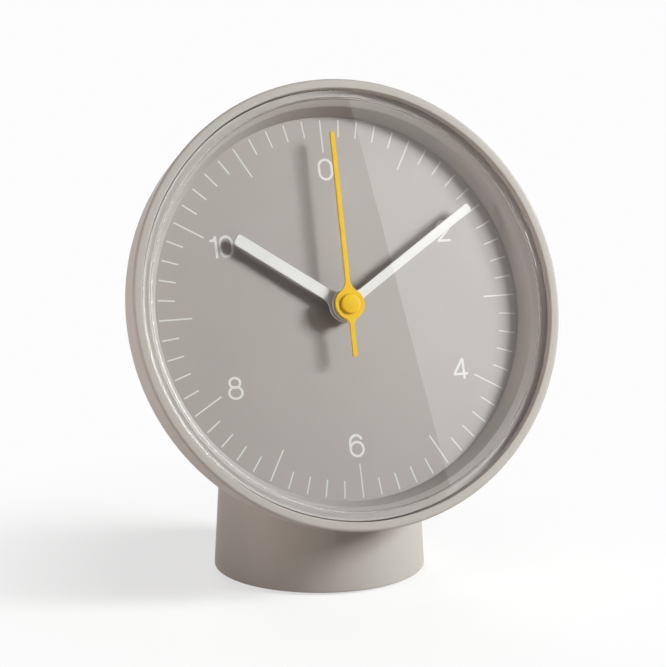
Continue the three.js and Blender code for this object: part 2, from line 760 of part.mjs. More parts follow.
// Bar through the coil, with a leg down to each end of the stator
function coilCore() {
  const foot = rotorArbor[1] - STATOR_WIDTH / 2;
  const top = coilY + CORE_WIDTH / 2;
  const bar = block(motorLeft, motorRight, coilY - CORE_WIDTH / 2, top, coreBack, coreFront);
  const left = block(motorLeft, motorLeft + CORE_LEG_WIDTH, foot, top, coreBack, coreFront);
  const right = block(motorRight - CORE_LEG_WIDTH, motorRight, foot, top, coreBack, coreFront);
  const ends = [coreBack - FIT, coreFront + FIT];
  const holes = motorScrews.map((place) => rod(shankHole, ...ends, ...place));
  return cut(join(bar, left, right), ...holes);
}

function coil() {
  const middle = (coreFront + coreBack) / 2;
  const half = COIL_LENGTH / 2;
  const winding = new THREE.CylinderGeometry(COIL_RADIUS, COIL_RADIUS, COIL_LENGTH, ROUND_MEDIUM / 2);
  winding.rotateZ(Math.PI / 2).translate(rotorArbor[0], coilY, middle);
  const slot = block(
    rotorArbor[0] - half - FIT,
    rotorArbor[0] + half + FIT,
    coilY - CORE_WIDTH / 2 - FIT,
    coilY + CORE_WIDTH / 2 + FIT,
    coreBack - FIT,
    coreFront + FIT,
  );
  return cut(winding, slot);
}

// Circuit board in the free corner above the motion wheel
const boardRight = -tipRadius(TEETH.intermediateWheel, rotorModule) - BOARD_MARGIN;
const boardLeft = -roomHalf + BOARD_MARGIN;
const boardTop = roomTop - BOARD_MARGIN;
const boardBottom = boardTop - BOARD_HEIGHT;
const boardFront = layerFront(LAYER.minute);
const boardBack = boardFront - BOARD_THICKNESS;
const stakes = [
  [boardLeft + STAKE_INSET, boardTop - STAKE_INSET],
  [boardRight - STAKE_INSET, boardBottom + STAKE_INSET],
];
const boardMiddle = [(boardLeft + boardRight) / 2, (boardTop + boardBottom) / 2];

function circuitBoard() {
  const sheet = block(boardLeft, boardRight, boardBottom, boardTop, boardBack, boardFront);
  const ends = [boardBack - FIT, boardFront + FIT];
  const holes = stakes.map((place) => rod(STAKE_RADIUS + FIT, ...ends, ...place));
  return cut(sheet, ...holes);
}

function chip() {
  const face = boardBack - FIT;
  const drop = lathe(
    [
      [0, face - CHIP_HEIGHT],
      [CHIP_TOP_RADIUS, face - CHIP_HEIGHT],
      [CHIP_RADIUS, face - CHIP_EDGE],
      [CHIP_RADIUS, face],
      [0, face],
    ],
    ROUND_SMALL,
  );
  return drop.translate(boardMiddle[0], boardMiddle[1] - CHIP_RADIUS, 0);
}

function quartzCan() {
  const can = new THREE.CylinderGeometry(CAN_RADIUS, CAN_RADIUS, CAN_LENGTH, ROUND_SMALL);
  const z = boardBack - FIT - CAN_RADIUS;
  return can.rotateZ(Math.PI / 2).translate(boardMiddle[0], boardMiddle[1] + CAN_RADIUS * 2, z);
}

function battery() {
  const half = cellHalf;
  const shoulder = half - CELL_TIP_LENGTH;
  const cell = lathe(
    [
      [0, -half],
      [CELL_RADIUS, -half],
      [CELL_RADIUS, shoulder],
      [CELL_TIP_RADIUS, shoulder],
      [CELL_TIP_RADIUS, half],
      [0, half],
    ],
    ROUND_MEDIUM,
  );
  return cell.rotateY(Math.PI / 2).translate(0, cellY, cellAxis);
}

// Spring leaf between an end of the battery and the wall of its bay
function contact(side) {
  const near = roomHalf - FIT;
  const x = [side * (near - CONTACT_THICKNESS), side * near].sort((a, b) => a - b);
  const half = CONTACT_SIZE / 2;
  const leaf = block(...x, cellY - half, cellY + half, cellAxis - half, cellAxis + half);
  const gap = near - CONTACT_THICKNESS - cellHalf - FIT;
  const dimple = rod(CELL_TIP_RADIUS, 0, gap + CONTACT_THICKNESS / 2, 0, 0);
  dimple.rotateY((side * Math.PI) / 2).translate(side * (cellHalf + FIT), cellY, cellAxis);
  return join(leaf, dimple);
}

// Front half of the works' case: plate, walls, bushing, partition, posts and bosses
function movementCase() {
  const plate = block(-worksHalf, worksHalf, worksBottom, worksTop, plateBack, worksFront);
  const walls = cut(
    block(-worksHalf, worksHalf, worksBottom, worksTop, wallBack, plateBack),
    block(-roomHalf, roomHalf, roomBottom, roomTop, wallBack - FIT, plateBack + FIT),
  );
  const partition = block(-worksHalf, worksHalf, partitionBottom, partitionTop, wallBack, plateBack);
  const bushing = rod(bushingRadius, worksFront, floorFront - FIT, 0, 0, ROUND_MEDIUM);
  const bosses = worksScrews.map(([x, y]) =>
    rod(WORKS_BOSS_RADIUS, plateBack - WORKS_BOSS_LENGTH, plateBack, x, y),
  );
  const motorPosts = motorScrews.map(([x, y]) =>
    rod(MOTOR_POST_RADIUS, coreFront + FIT, plateBack, x, y),
  );
  const boardPosts = stakes.flatMap(([x, y]) => [
    rod(BOARD_POST_RADIUS, boardFront + FIT, plateBack, x, y),
    rod(STAKE_RADIUS, boardBack - FIT, boardFront + FIT, x, y),
  ]);
  const ends = [plateBack - FIT, worksFront + FIT];
  const pivots = [thirdArbor, intermediateArbor, rotorArbor].map((place) =>
    rod(TRAIN_ARBOR_RADIUS + RUN, ...ends, ...place),
  );
  const settingPivot = rod(SETTING_ARBOR_RADIUS + RUN, ...ends, ...motionArbor);
  const bore = rod(bushingBore, plateBack - FIT, floorFront, 0, 0, ROUND_MEDIUM);
  const screwHoles = worksScrews.map(([x, y]) =>
    rod(shankHole, plateBack - WORKS_BOSS_LENGTH - FIT, worksFront + FIT, x, y),
  );
  const motorHoles = motorScrews.map(([x, y]) => rod(shankHole, plateBack, coreFront, x, y));
  const whole = join(plate, walls, partition, bushing, ...bosses, ...motorPosts, ...boardPosts);
  return cut(whole, bore, settingPivot, ...pivots, ...screwHoles, ...motorHoles);
}

// Rear half of the works' case, a lid over the wheels with the battery bay left open
function movementCover() {
  const lid = block(-worksHalf, worksHalf, partitionBottom, worksTop, lidBack, lidFront);
  const ends = [lidBack - FIT, lidFront + FIT];
  const pivots = [thirdArbor, intermediateArbor, rotorArbor].map((place) =>
    rod(TRAIN_ARBOR_RADIUS + RUN, ...ends, ...place),
  );
  const centre = rod(SECOND_ARBOR_RADIUS + RUN, ...ends);
  const setting = rod(SETTING_ARBOR_RADIUS + RUN, ...ends, ...motionArbor);
  return cut(lid, centre, setting, ...pivots);
}

const housingBossEnd = worksBottom - HOUSING_BOSS_CLEARANCE;
const footScrewX = [-FOOT_SCREW_X, FOOT_SCREW_X];

function rearHousing() {
  const tube = lathe([
    [housingInner, housingBack],
    [housingRadius, housingBack],
    [housingRadius, housingFront],
    [housingInner, housingFront],
  ]);
  const bosses = bossPlaces.map(([x, y]) => rod(BOSS_RADIUS, housingBack, housingFront, x, y));
  const footBosses = footScrewX.map((x) =>
    crossRod(HOUSING_BOSS_RADIUS, -housingRadius, housingBossEnd, x, housingMiddle),
  );
  const midWall = rod(housingInner + HOUSING_WALL / 2, housingBack, housingFront, 0, 0, ROUND_LARGE);
  const ends = [housingBack - FIT, housingFront + FIT];
  const holes = bossPlaces.map((place) => rod(shankHole, ...ends, ...place));
  const footHoles = footScrewX.map((x) =>
    crossRod(shankHole, -housingRadius - FIT, housingBossEnd + FIT, x, housingMiddle),
  );
  const innerBosses = meet(join(...footBosses), midWall);
  return cut(join(tube, ...bosses, innerBosses), ...holes, ...footHoles);
}

// Half sizes of the battery opening, of the door's lip and of the knob's opening
const openingHalfX = cellHalf + DOOR_MARGIN;
const openingHalfY = CELL_RADIUS + DOOR_MARGIN;
const knobOpening = KNOB_RADIUS + KNOB_ROOM;

function rearCover() {
  const disc = rod(housingRadius, coverBack, coverFront, 0, 0, ROUND_LARGE);
  const opening = block(
    -openingHalfX,
    openingHalfX,
    cellY - openingHalfY,
    cellY + openingHalfY,
    coverBack - FIT,
    coverFront + FIT,
  );
  const recess = block(
    -openingHalfX - DOOR_LIP,
    openingHalfX + DOOR_LIP,
    cellY - openingHalfY - DOOR_LIP,
    cellY + openingHalfY + DOOR_LIP,
    coverBack - FIT,
    coverBack + DOOR_PANEL + FIT,
  );
  const ends = [coverBack - FIT, coverFront + FIT];
  const knobHole = rod(knobOpening, ...ends, ...motionArbor, ROUND_MEDIUM);
  const holes = bossPlaces.map((place) => rod(shankHole, ...ends, ...place));
  return cut(disc, opening, recess, knobHole, ...holes);
}

// Lift-off door: a panel in the recess and a plug in the opening, with a finger groove
function batteryDoor() {
  const panelX = openingHalfX + DOOR_LIP - FIT;
  const panelY = openingHalfY + DOOR_LIP - FIT;
  const panelFront = coverBack + DOOR_PANEL;
  const panel = block(-panelX, panelX, cellY - panelY, cellY + panelY, coverBack, panelFront);
  const plugX = openingHalfX - FIT;
  const plugY = openingHalfY - FIT;
  const plug = block(-plugX, plugX, cellY - plugY, cellY + plugY, panelFront, coverFront);
  const gripTop = cellY + openingHalfY - DOOR_LIP;
  const grip = block(
    -DOOR_GRIP_WIDTH / 2,
    DOOR_GRIP_WIDTH / 2,
    gripTop - DOOR_GRIP_HEIGHT,
    gripTop,
    coverBack - FIT,
    coverBack + DOOR_GRIP_DEPTH,
  );
  return cut(join(panel, plug), grip);
}

// Screw along Z with its head's outer face at z = 0 and its shank towards -Z
function screw(length, countersunk) {
  const body = countersunk
    ? lathe(
        [
          [0, -length],
          [SHANK_RADIUS, -length],
          [SHANK_RADIUS, -HEAD_HEIGHT],
          [HEAD_RADIUS, 0],
          [0, 0],
        ],
        ROUND_SMALL,
      )
    : lathe(
        [
          [0, -length],
          [SHANK_RADIUS, -length],
          [SHANK_RADIUS, -HEAD_HEIGHT],
          [HEAD_RADIUS, -HEAD_HEIGHT],
          [HEAD_RADIUS, -HEAD_EDGE],
          [HEAD_CROWN, 0],
          [0, 0],
        ],
        ROUND_SMALL,
      );
  const half = SLOT_WIDTH / 2;
  return cut(body, block(-HEAD_RADIUS, HEAD_RADIUS, -half, half, -SLOT_DEPTH, FIT));
}

// Foot, in the frame of the clock, cut by the case's back and by the housing
const footSlope = Math.tan(radians(FOOT_TAPER));
const footBase = PAD_PROUD;
const plateBase = PAD_THICKNESS + FIT;
const plateTop = plateBase + BASE_PLATE;
const footInnerAt = (z) => FOOT_RADIUS - FOOT_WALL - footSlope * z;
const plateRadius = footInnerAt(plateTop) - FIT;
const baseBossCircle = plateRadius - BASE_PLATE_EDGE - headHole;
const baseBossRadius = footInnerAt(plateTop) + BASE_BOSS_SUNK - baseBossCircle;
const baseBosses = [];
for (let i = 0; i < BASE_BOSS_COUNT; i += 1) {
  baseBosses.push(at(baseBossCircle, 90 + (360 * i) / BASE_BOSS_COUNT));
}

// Tapered column from its base up past the face's centre
function column(inset, base) {
  const radius = (z) => FOOT_RADIUS - inset - footSlope * z;
  const edge = inset > 0 ? 0 : FOOT_EDGE;
  return lathe([
    [0, base],
    [radius(base) - edge, base],
    [radius(base + edge), base + edge],
    [radius(DIAL_HEIGHT), DIAL_HEIGHT],
    [0, DIAL_HEIGHT],
  ]);
}

// What stands above the foot: the case's back, the cradle's plane and the housing, with some room
function aboveFoot(room) {
  const cradleTop = -housingRadius + CRADLE_DEPTH;
  const behindCase = block(-BIG, BIG, -BIG, BIG, floorBack - FIT - room, BIG);
  const overCradle = block(-BIG, BIG, cradleTop - room, BIG, -BIG, BIG);
  const drum = rod(housingRadius + FIT + room, -BIG, BIG, 0, 0, ROUND_LARGE);
  return [behindCase, overCradle, drum].map((shape) => shape.applyMatrix4(head.matrix));
}

const seatLow = -(housingRadius + FIT + FOOT_WALL + FOOT_SEAT_DEPTH);

function foot() {
  const hollow = cut(column(FOOT_WALL, footBase - FIT), ...aboveFoot(FOOT_WALL));
  const shell = cut(column(0, footBase), hollow);
  const inside = column(FOOT_WALL / 2, footBase);
  const seats = footScrewX.map((x) =>
    crossRod(FOOT_SEAT_RADIUS, seatLow, 0, x, housingMiddle).applyMatrix4(head.matrix),
  );
  const bosses = baseBosses.map(([x, y]) =>
    rod(baseBossRadius, plateTop + FIT, plateTop + BASE_BOSS_HEIGHT, x, y),
  );
  const whole = join(shell, meet(join(...seats), inside), ...bosses);
  const screwHoles = footScrewX.map((x) =>
    crossRod(shankHole, seatLow - FIT, 0, x, housingMiddle).applyMatrix4(head.matrix),
  );
  const bossHoles = baseBosses.map(([x, y]) =>
    rod(shankHole, plateTop, plateBase + PLATE_SCREW_LENGTH + FIT, x, y),
  );
  return cut(whole, ...aboveFoot(0), ...screwHoles, ...bossHoles);
}

function basePlate() {
  const disc = rod(plateRadius, plateBase, plateTop, 0, 0, ROUND_LARGE);
  const holes = [[0, 0], ...baseBosses].flatMap(([x, y]) => [
    rod(shankHole, plateBase, plateTop + FIT, x, y),
    countersink(-plateBase, 0, 0).rotateX(Math.PI).translate(x, y, 0),
  ]);
  return cut(disc, ...holes);
}

function ballast() {
  const radius = baseBossCircle - baseBossRadius - BALLAST_ROOM;
  const base = plateTop + FIT;
  const weight = rod(radius, base, base + BALLAST_HEIGHT, 0, 0, ROUND_MEDIUM);
  return cut(weight, rod(shankHole, base - FIT, plateBase + BALLAST_SCREW_LENGTH + FIT, 0, 0));
}

function footPad() {
  return rod(plateRadius - PAD_INSET, 0, PAD_THICKNESS, 0, 0, ROUND_LARGE);
}

// The foot, from the table up
piece(clock, 'foot_pad', footPad(), rubber);
piece(clock, 'base_plate', basePlate(), blackPlastic);
piece(clock, 'ballast', ballast(), steel);
piece(clock, 'foot', foot(), greyPlastic);

// The case and the drum behind it
piece(head, 'front_case', frontCase(), greyPlastic);
piece(head, 'rear_housing', rearHousing(), greyPlastic);
piece(head, 'rear_cover', rearCover(), greyPlastic);
piece(head, 'battery_door', batteryDoor(), greyPlastic);

// The works
piece(head, 'movement_case', movementCase(), blackPlastic);
piece(head, 'movement_cover', movementCover(), blackPlastic);
piece(head, 'stator', stator(), steel);
piece(head, 'coil_core', coilCore(), steel);
piece(head, 'coil', coil(), copper);
piece(head, 'circuit_board', circuitBoard(), boardGreen);
piece(head, 'chip', chip(), blackPlastic);
piece(head, 'quartz_can', quartzCan(), steel);
piece(head, 'battery', battery(), cellSleeve);
piece(head, 'contact_plus', contact(1), brass);
piece(head, 'contact_minus', contact(-1), brass);
piece(head, 'rotor_magnet', rotorMagnet(), magnetic);
piece(head, 'rotor_pinion', rotorPinion(), acetal);
piece(head, 'intermediate_wheel', intermediateWheel(), acetal);
piece(head, 'third_wheel', thirdWheel(), acetal);
piece(head, 'second_wheel', secondWheel(), brass);
piece(head, 'minute_wheel', minuteWheel(), brass);
piece(head, 'hour_wheel', hourWheel(), acetal);
piece(head, 'motion_wheel', motionWheel(), acetal);
piece(head, 'set_knob', setKnob(), blackPlastic);

// The face
piece(head, 'dial', dial(), dialPaint);
piece(head, 'dial_ring', dialRing(), greyPlastic);
piece(head, 'hour_hand', hourHand(), whitePaint).rotation.z = -radians(HOUR_ANGLE);
piece(head, 'minute_hand', minuteHand(), whitePaint).rotation.z = -radians(MINUTE_ANGLE);
const secondShape = prism(secondOutline(), secondBase, secondFront);
piece(head, 'second_hand', secondShape, yellowPaint).rotation.z = -radians(SECOND_ANGLE);
piece(head, 'second_hand_cap', secondCap(), yellowPaint);
piece(head, 'lens', lens(), clearAcrylic);

// The screws
const sunkFace = SCREW_FIT;
bossPlaces.forEach(([x, y], i) => {
  const mesh = piece(head, `case_screw_${i + 1}`, screw(CASE_SCREW_LENGTH, true), steel);
  mesh.position.set(x, y, floorFront - sunkFace);
});
worksScrews.forEach(([x, y], i) => {
  const mesh = piece(head, `works_screw_${i + 1}`, screw(WORKS_SCREW_LENGTH, true), steel);
  mesh.position.set(x, y, floorFront - sunkFace);
});
bossPlaces.forEach(([x, y], i) => {
  const mesh = piece(head, `cover_screw_${i + 1}`, screw(COVER_SCREW_LENGTH, false), steel);
  mesh.position.set(x, y, coverBack - FIT - HEAD_HEIGHT);
  mesh.rotation.x = Math.PI;
});
motorScrews.forEach(([x, y], i) => {
  const mesh = piece(head, `motor_screw_${i + 1}`, screw(MOTOR_SCREW_LENGTH, false), steel);
  mesh.position.set(x, y, statorBack - FIT - HEAD_HEIGHT);
  mesh.rotation.x = Math.PI;
});
footScrewX.forEach((x, i) => {
  const mesh = piece(head, `foot_screw_${i + 1}`, screw(FOOT_SCREW_LENGTH, false), steel);
  mesh.position.set(x, seatLow - FIT - HEAD_HEIGHT, housingMiddle);
  mesh.rotation.x = Math.PI / 2;
});
baseBosses.forEach(([x, y], i) => {
  const mesh = piece(clock, `plate_screw_${i + 1}`, screw(PLATE_SCREW_LENGTH, true), steel);
  mesh.position.set(x, y, plateBase + sunkFace);
  mesh.rotation.x = Math.PI;
});
const ballastScrew = piece(clock, 'ballast_screw', screw(BALLAST_SCREW_LENGTH, true), steel);
ballastScrew.position.set(0, 0, plateBase + sunkFace);
ballastScrew.rotation.x = Math.PI;

export default clock;
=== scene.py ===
from math import atan2, cos, hypot, pi, radians, sin, sqrt, tan

import bmesh
import bpy
from mathutils import Matrix, Vector


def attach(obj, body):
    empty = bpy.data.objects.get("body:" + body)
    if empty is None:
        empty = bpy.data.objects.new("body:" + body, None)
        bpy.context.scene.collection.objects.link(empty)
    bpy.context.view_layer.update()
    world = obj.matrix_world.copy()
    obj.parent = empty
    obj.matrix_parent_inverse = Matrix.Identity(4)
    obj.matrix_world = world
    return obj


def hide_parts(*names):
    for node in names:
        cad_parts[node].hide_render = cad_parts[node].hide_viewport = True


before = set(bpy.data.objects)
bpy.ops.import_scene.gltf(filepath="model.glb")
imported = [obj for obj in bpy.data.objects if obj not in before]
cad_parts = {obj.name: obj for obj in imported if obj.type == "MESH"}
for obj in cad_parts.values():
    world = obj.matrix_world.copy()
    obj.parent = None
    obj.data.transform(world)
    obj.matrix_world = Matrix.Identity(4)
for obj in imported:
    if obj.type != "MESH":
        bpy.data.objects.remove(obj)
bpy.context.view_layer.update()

# Foot: a short column of moulded grey plastic, hollow and a little narrower at its top.
# Its top is cut along the back of the case and hollowed for the drum that lies in it,
# and two screws from inside pull it up against the drum.
FOOT_RADIUS = 0.0344
FOOT_NARROWING = tan(radians(3.2))
FOOT_BASE = 0.0008
FOOT_TOP = 0.075
FOOT_WALL = 0.0026
FOOT_EDGE = 0.0006
CRADLE_EDGE = 0.0005
FOOT_LOW = 0.002
CRADLE_LOW = 0.01
FAR_OFF = 0.2
CASE_BACK = -0.0038
CRADLE_FLAT = -0.0387
DRUM_BED = 0.044
WARM_GREY = (0.362, 0.338, 0.316, 1)

# where the face stands: x to the reader's right, y up the face, z out of the dial
DIAL_CENTRE = (0, -0.0185, 0.089)
FACE_TILT = radians(72)
face_place = Matrix.Translation(DIAL_CENTRE) @ Matrix.Rotation(FACE_TILT, 4, "X")


def turned(outline, steps=180, angle=2 * pi):
    """Section outline (radius, height) turned round the z axis, a whole turn or part of one."""
    shape = bmesh.new()
    corners = [shape.verts.new((radius, 0, height)) for radius, height in outline]
    following = corners[1:] + corners[:1] if outline[0][0] > 0 else corners[1:]
    sides = [shape.edges.new(pair) for pair in zip(corners, following)]
    whole = abs(angle) > 2 * pi - 0.01
    bmesh.ops.spin(
        shape,
        geom=corners + sides,
        cent=(0, 0, 0),
        axis=(0, 0, 1),
        angle=angle,
        steps=steps,
        use_merge=whole,
    )
    bmesh.ops.remove_doubles(shape, verts=shape.verts, dist=1e-7)
    if not whole:
        bmesh.ops.holes_fill(shape, edges=shape.edges, sides=len(outline))
    bmesh.ops.recalc_face_normals(shape, faces=shape.faces)
    return shape


def block(low, high):
    shape = bmesh.new()
    bmesh.ops.create_cube(shape, size=1)
    low, high = Vector(low), Vector(high)
    bmesh.ops.scale(shape, verts=shape.verts, vec=high - low)
    bmesh.ops.translate(shape, verts=shape.verts, vec=(low + high) / 2)
    return shape


def on_face(shape):
    shape.transform(face_place)
    return shape


def blank(shape):
    mesh = bpy.data.meshes.new("blank")
    shape.to_mesh(mesh)
    shape.free()
    thing = bpy.data.objects.new("blank", mesh)
    bpy.context.scene.collection.objects.link(thing)
    return thing


def carved(shape, *cutters, operation="DIFFERENCE"):
    """A shape with other shapes cut out of it, or welded to it."""
    stock = blank(shape)
    tools = [blank(cutter) for cutter in cutters]
    for tool in tools:
        step = stock.modifiers.new("carve", "BOOLEAN")
        step.operation = operation
        step.solver = "EXACT"
        step.object = tool
    bpy.context.view_layer.update()
    ready = stock.evaluated_get(bpy.context.evaluated_depsgraph_get())
    result = bmesh.new()
    result.from_mesh(ready.to_mesh())
    ready.to_mesh_clear()
    for thing in [stock, *tools]:
        mesh = thing.data
        bpy.data.objects.remove(thing)
        bpy.data.meshes.remove(mesh)
    return result


def softened(shape, width, where=None, segments=3, sharper_than=radians(30)):
    """Rounds the sharp edges, or those of them whose middle the test picks."""
    edges = []
    for edge in shape.edges:
        if len(edge.link_faces) != 2 or edge.calc_face_angle(0) < sharper_than:
            continue
        middle = (edge.verts[0].co + edge.verts[1].co) / 2
        if where is None or where(middle):
            edges.append(edge)
    bmesh.ops.bevel(
        shape,
        geom=edges,
        offset=width,
        offset_type="OFFSET",
        segments=segments,
        profile=0.5,
        affect="EDGES",
        clamp_overlap=True,
        material=-1,
    )
    return shape


def piece(name, shape, finish, body, slot, *stands_for):
    """The finished piece of that name: smooth where it is round, crisp where it has an edge."""
    bmesh.ops.remove_doubles(shape, verts=shape.verts, dist=1e-7)
    bmesh.ops.recalc_face_normals(shape, faces=shape.faces)
    mesh = bpy.data.meshes.new(name)
    shape.to_mesh(mesh)
    shape.free()
    mesh.polygons.foreach_set("use_smooth", [True] * len(mesh.polygons))
    mesh.set_sharp_from_angle(angle=radians(35))
    mesh.materials.append(finish)
    thing = bpy.data.objects.new(name, mesh)
    bpy.context.scene.collection.objects.link(thing)
    even = thing.modifiers.new("even shading", "WEIGHTED_NORMAL")
    even.keep_sharp = True
    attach(thing, body)
    if stands_for:
        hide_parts(*stands_for)
    return thing


def new_group(name, inputs):
    """Empty node group that gives colour, roughness and height, its inputs with their usual values."""
    group = bpy.data.node_groups.new(name, "ShaderNodeTree")
    for label, kind, usual in inputs:
        socket = group.interface.new_socket(name=label, in_out="INPUT", socket_type=kind)
        socket.default_value = usual
    for label, kind in (("Colour", "Color"), ("Roughness", "Float"), ("Height", "Float")):
        group.interface.new_socket(name=label, in_out="OUTPUT", socket_type="NodeSocket" + kind)
    return group, group.nodes.new("NodeGroupInput"), group.nodes.new("NodeGroupOutput")


def between(nodes, low, high):
    """Node that spreads what runs from 0 to 1 between two values."""
    spread = nodes.new("ShaderNodeMapRange")
    spread.inputs["To Min"].default_value = low
    spread.inputs["To Max"].default_value = high
    return spread


# moulded grain: the fine spark texture of a mould, with a faint unevenness of colour
moulded_grain, given, result = new_group(
    "moulded grain",
    [
        ("Colour", "NodeSocketColor", WARM_GREY),
        ("Grain Scale", "NodeSocketFloat", 2600),
        ("Roughness", "NodeSocketFloat", 0.55),
        ("Unevenness", "NodeSocketFloat", 0.06),
    ],
)
nodes, links = moulded_grain.nodes, moulded_grain.links
place = nodes.new("ShaderNodeTexCoord")
spark = nodes.new("ShaderNodeTexNoise")
spark.inputs["Detail"].default_value = 3
flow = nodes.new("ShaderNodeTexNoise")
flow.inputs["Scale"].default_value = 28
flow.inputs["Detail"].default_value = 2
shade = between(nodes, 0.975, 1.02)
shade.inputs["From Min"].default_value = 0.3
shade.inputs["From Max"].default_value = 0.7
tone = nodes.new("ShaderNodeHueSaturation")
uneven = between(nodes, -1, 1)
added = nodes.new("ShaderNodeMath")
added.operation = "MULTIPLY_ADD"
links.new(place.outputs["Object"], spark.inputs["Vector"])
links.new(place.outputs["Object"], flow.inputs["Vector"])
links.new(given.outputs["Grain Scale"], spark.inputs["Scale"])
links.new(flow.outputs["Fac"], shade.inputs["Value"])
links.new(shade.outputs["Result"], tone.inputs["Value"])
links.new(given.outputs["Colour"], tone.inputs["Color"])
links.new(spark.outputs["Fac"], uneven.inputs["Value"])
links.new(uneven.outputs["Result"], added.inputs[0])
links.new(given.outputs["Unevenness"], added.inputs[1])
links.new(given.outputs["Roughness"], added.inputs[2])
links.new(tone.outputs["Color"], result.inputs["Colour"])
links.new(added.outputs["Value"], result.inputs["Roughness"])
links.new(spark.outputs["Fac"], result.inputs["Height"])


def finish_from(group, name, relief=0.00001, gloss=0.5, **values):
    """Material on a group's colour, roughness and height, with its own values for them."""
    finish = bpy.data.materials.new(name)
    finish.use_nodes = True
    nodes, links = finish.node_tree.nodes, finish.node_tree.links
    surface = nodes["Principled BSDF"]
    surface.inputs["Specular IOR Level"].default_value = gloss
    texture = nodes.new("ShaderNodeGroup")
    texture.node_tree = group
    for label, value in values.items():
        texture.inputs[label.replace("_", " ")].default_value = value
    bump = nodes.new("ShaderNodeBump")
    bump.inputs["Distance"].default_value = relief
    links.new(texture.outputs["Colour"], surface.inputs["Base Color"])
    links.new(texture.outputs["Roughness"], surface.inputs["Roughness"])
    links.new(texture.outputs["Height"], bump.inputs["Height"])
    links.new(bump.outputs["Normal"], surface.inputs["Normal"])
    return finish


grey_plastic = finish_from(
    moulded_grain, "warm grey moulded plastic", gloss=0.4, Colour=WARM_GREY, Roughness=0.55
)


def foot_radius(height):
    return FOOT_RADIUS - FOOT_NARROWING * height


def above_foot(room):
    """What the foot leaves free: the case's back, the space over the cradle, and the drum."""
    corner = (FAR_OFF, FAR_OFF, FAR_OFF)
    case_side = block((-FAR_OFF, -FAR_OFF, CASE_BACK - room), corner)
    cradle_side = block((-FAR_OFF, CRADLE_FLAT - room, -FAR_OFF), corner)
    bed = DRUM_BED + room
    drum = turned([(0, -FAR_OFF), (bed, -FAR_OFF), (bed, FAR_OFF), (0, FAR_OFF)], steps=240)
    return [on_face(shape) for shape in (case_side, cradle_side, drum)]


column = turned(
    [
        (0, FOOT_BASE),
        (foot_radius(FOOT_BASE), FOOT_BASE),
        (foot_radius(FOOT_TOP), FOOT_TOP),
        (0, FOOT_TOP),
    ],
    steps=240,
)
foot = carved(column, *above_foot(0))
softened(foot, FOOT_EDGE, lambda middle: middle.z < FOOT_LOW)
softened(foot, CRADLE_EDGE, lambda middle: middle.z > CRADLE_LOW, sharper_than=radians(20))
hollow = turned(
    [
        (0, 0),
        (foot_radius(0) - FOOT_WALL, 0),
        (foot_radius(FOOT_TOP) - FOOT_WALL, FOOT_TOP),
        (0, FOOT_TOP),
    ],
    steps=120,
)
foot = carved(foot, carved(hollow, *above_foot(FOOT_WALL)))
piece("foot_column", foot, grey_plastic, "case", "grey_plastic", "foot")

# Foot pad and base plate: a soft ribbed pad on a moulded plate that closes the foot.
# Screws hold the plate in the foot and the steel weight on the plate.
PAD_RADIUS = 0.0303
PAD_THICKNESS = 0.0016
PAD_ROUND = 0.0005
PAD_RINGS = (0.009, 0.015, 0.021, 0.0265)
PAD_RING_HALF = 0.0004
PAD_RING_DEPTH = 0.0003
PAD_GREY = (0.03, 0.03, 0.032, 1)
PLATE_BLACK = (0.022, 0.022, 0.025, 1)
ZINC_GREY = (0.6, 0.61, 0.63, 1)

pad = softened(
    turned([(0, 0), (PAD_RADIUS, 0), (PAD_RADIUS, PAD_THICKNESS), (0, PAD_THICKNESS)]), PAD_ROUND
)
grooves = [
    turned(
        [
            (ring - PAD_RING_HALF, -PAD_RING_DEPTH),
            (ring + PAD_RING_HALF, -PAD_RING_DEPTH),
            (ring + PAD_RING_HALF, PAD_RING_DEPTH),
            (ring - PAD_RING_HALF, PAD_RING_DEPTH),
        ]
    )
    for ring in PAD_RINGS
]
pad_rubber = finish_from(
    moulded_grain, "dark grey rubber", relief=0.00004, Colour=PAD_GREY, Grain_Scale=1500, Roughness=0.8
)
piece("pad_disc", carved(pad, *grooves), pad_rubber, "case", "pad", "foot_pad")


def dressed(finish, *names):
    """Gives carried-over pieces their finish."""
    for name in names:
        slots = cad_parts[name].data.materials
        slots.clear()
        slots.append(finish)


black_plastic = finish_from(
    moulded_grain, "black moulded plastic", Colour=PLATE_BLACK, Grain_Scale=3200, Roughness=0.5
)
dressed(black_plastic, "base_plate")

# drawn metal: fine lines along one way of the piece, in colour, gloss and height
drawn_metal, given, result = new_group(
    "drawn metal",
    [
        ("Colour", "NodeSocketColor", (0.6, 0.6, 0.61, 1)),
        ("Line Scale", "NodeSocketFloat", 900),
        ("Roughness", "NodeSocketFloat", 0.32),
    ],
)
nodes, links = drawn_metal.nodes, drawn_metal.links
place = nodes.new("ShaderNodeTexCoord")
stretch = nodes.new("ShaderNodeMapping")
stretch.inputs["Scale"].default_value = (0.06, 1, 1)
lines = nodes.new("ShaderNodeTexNoise")
lines.inputs["Detail"].default_value = 4
tarnish = nodes.new("ShaderNodeTexNoise")
tarnish.inputs["Scale"].default_value = 160
shade = between(nodes, 0.86, 1.1)
tone = nodes.new("ShaderNodeHueSaturation")
uneven = between(nodes, -0.12, 0.12)
added = nodes.new("ShaderNodeMath")
links.new(place.outputs["Object"], stretch.inputs["Vector"])
links.new(stretch.outputs["Vector"], lines.inputs["Vector"])
links.new(given.outputs["Line Scale"], lines.inputs["Scale"])
links.new(place.outputs["Object"], tarnish.inputs["Vector"])
links.new(tarnish.outputs["Fac"], shade.inputs["Value"])
links.new(shade.outputs["Result"], tone.inputs["Value"])
links.new(given.outputs["Colour"], tone.inputs["Color"])
links.new(lines.outputs["Fac"], uneven.inputs["Value"])
links.new(uneven.outputs["Result"], added.inputs[0])
links.new(given.outputs["Roughness"], added.inputs[1])
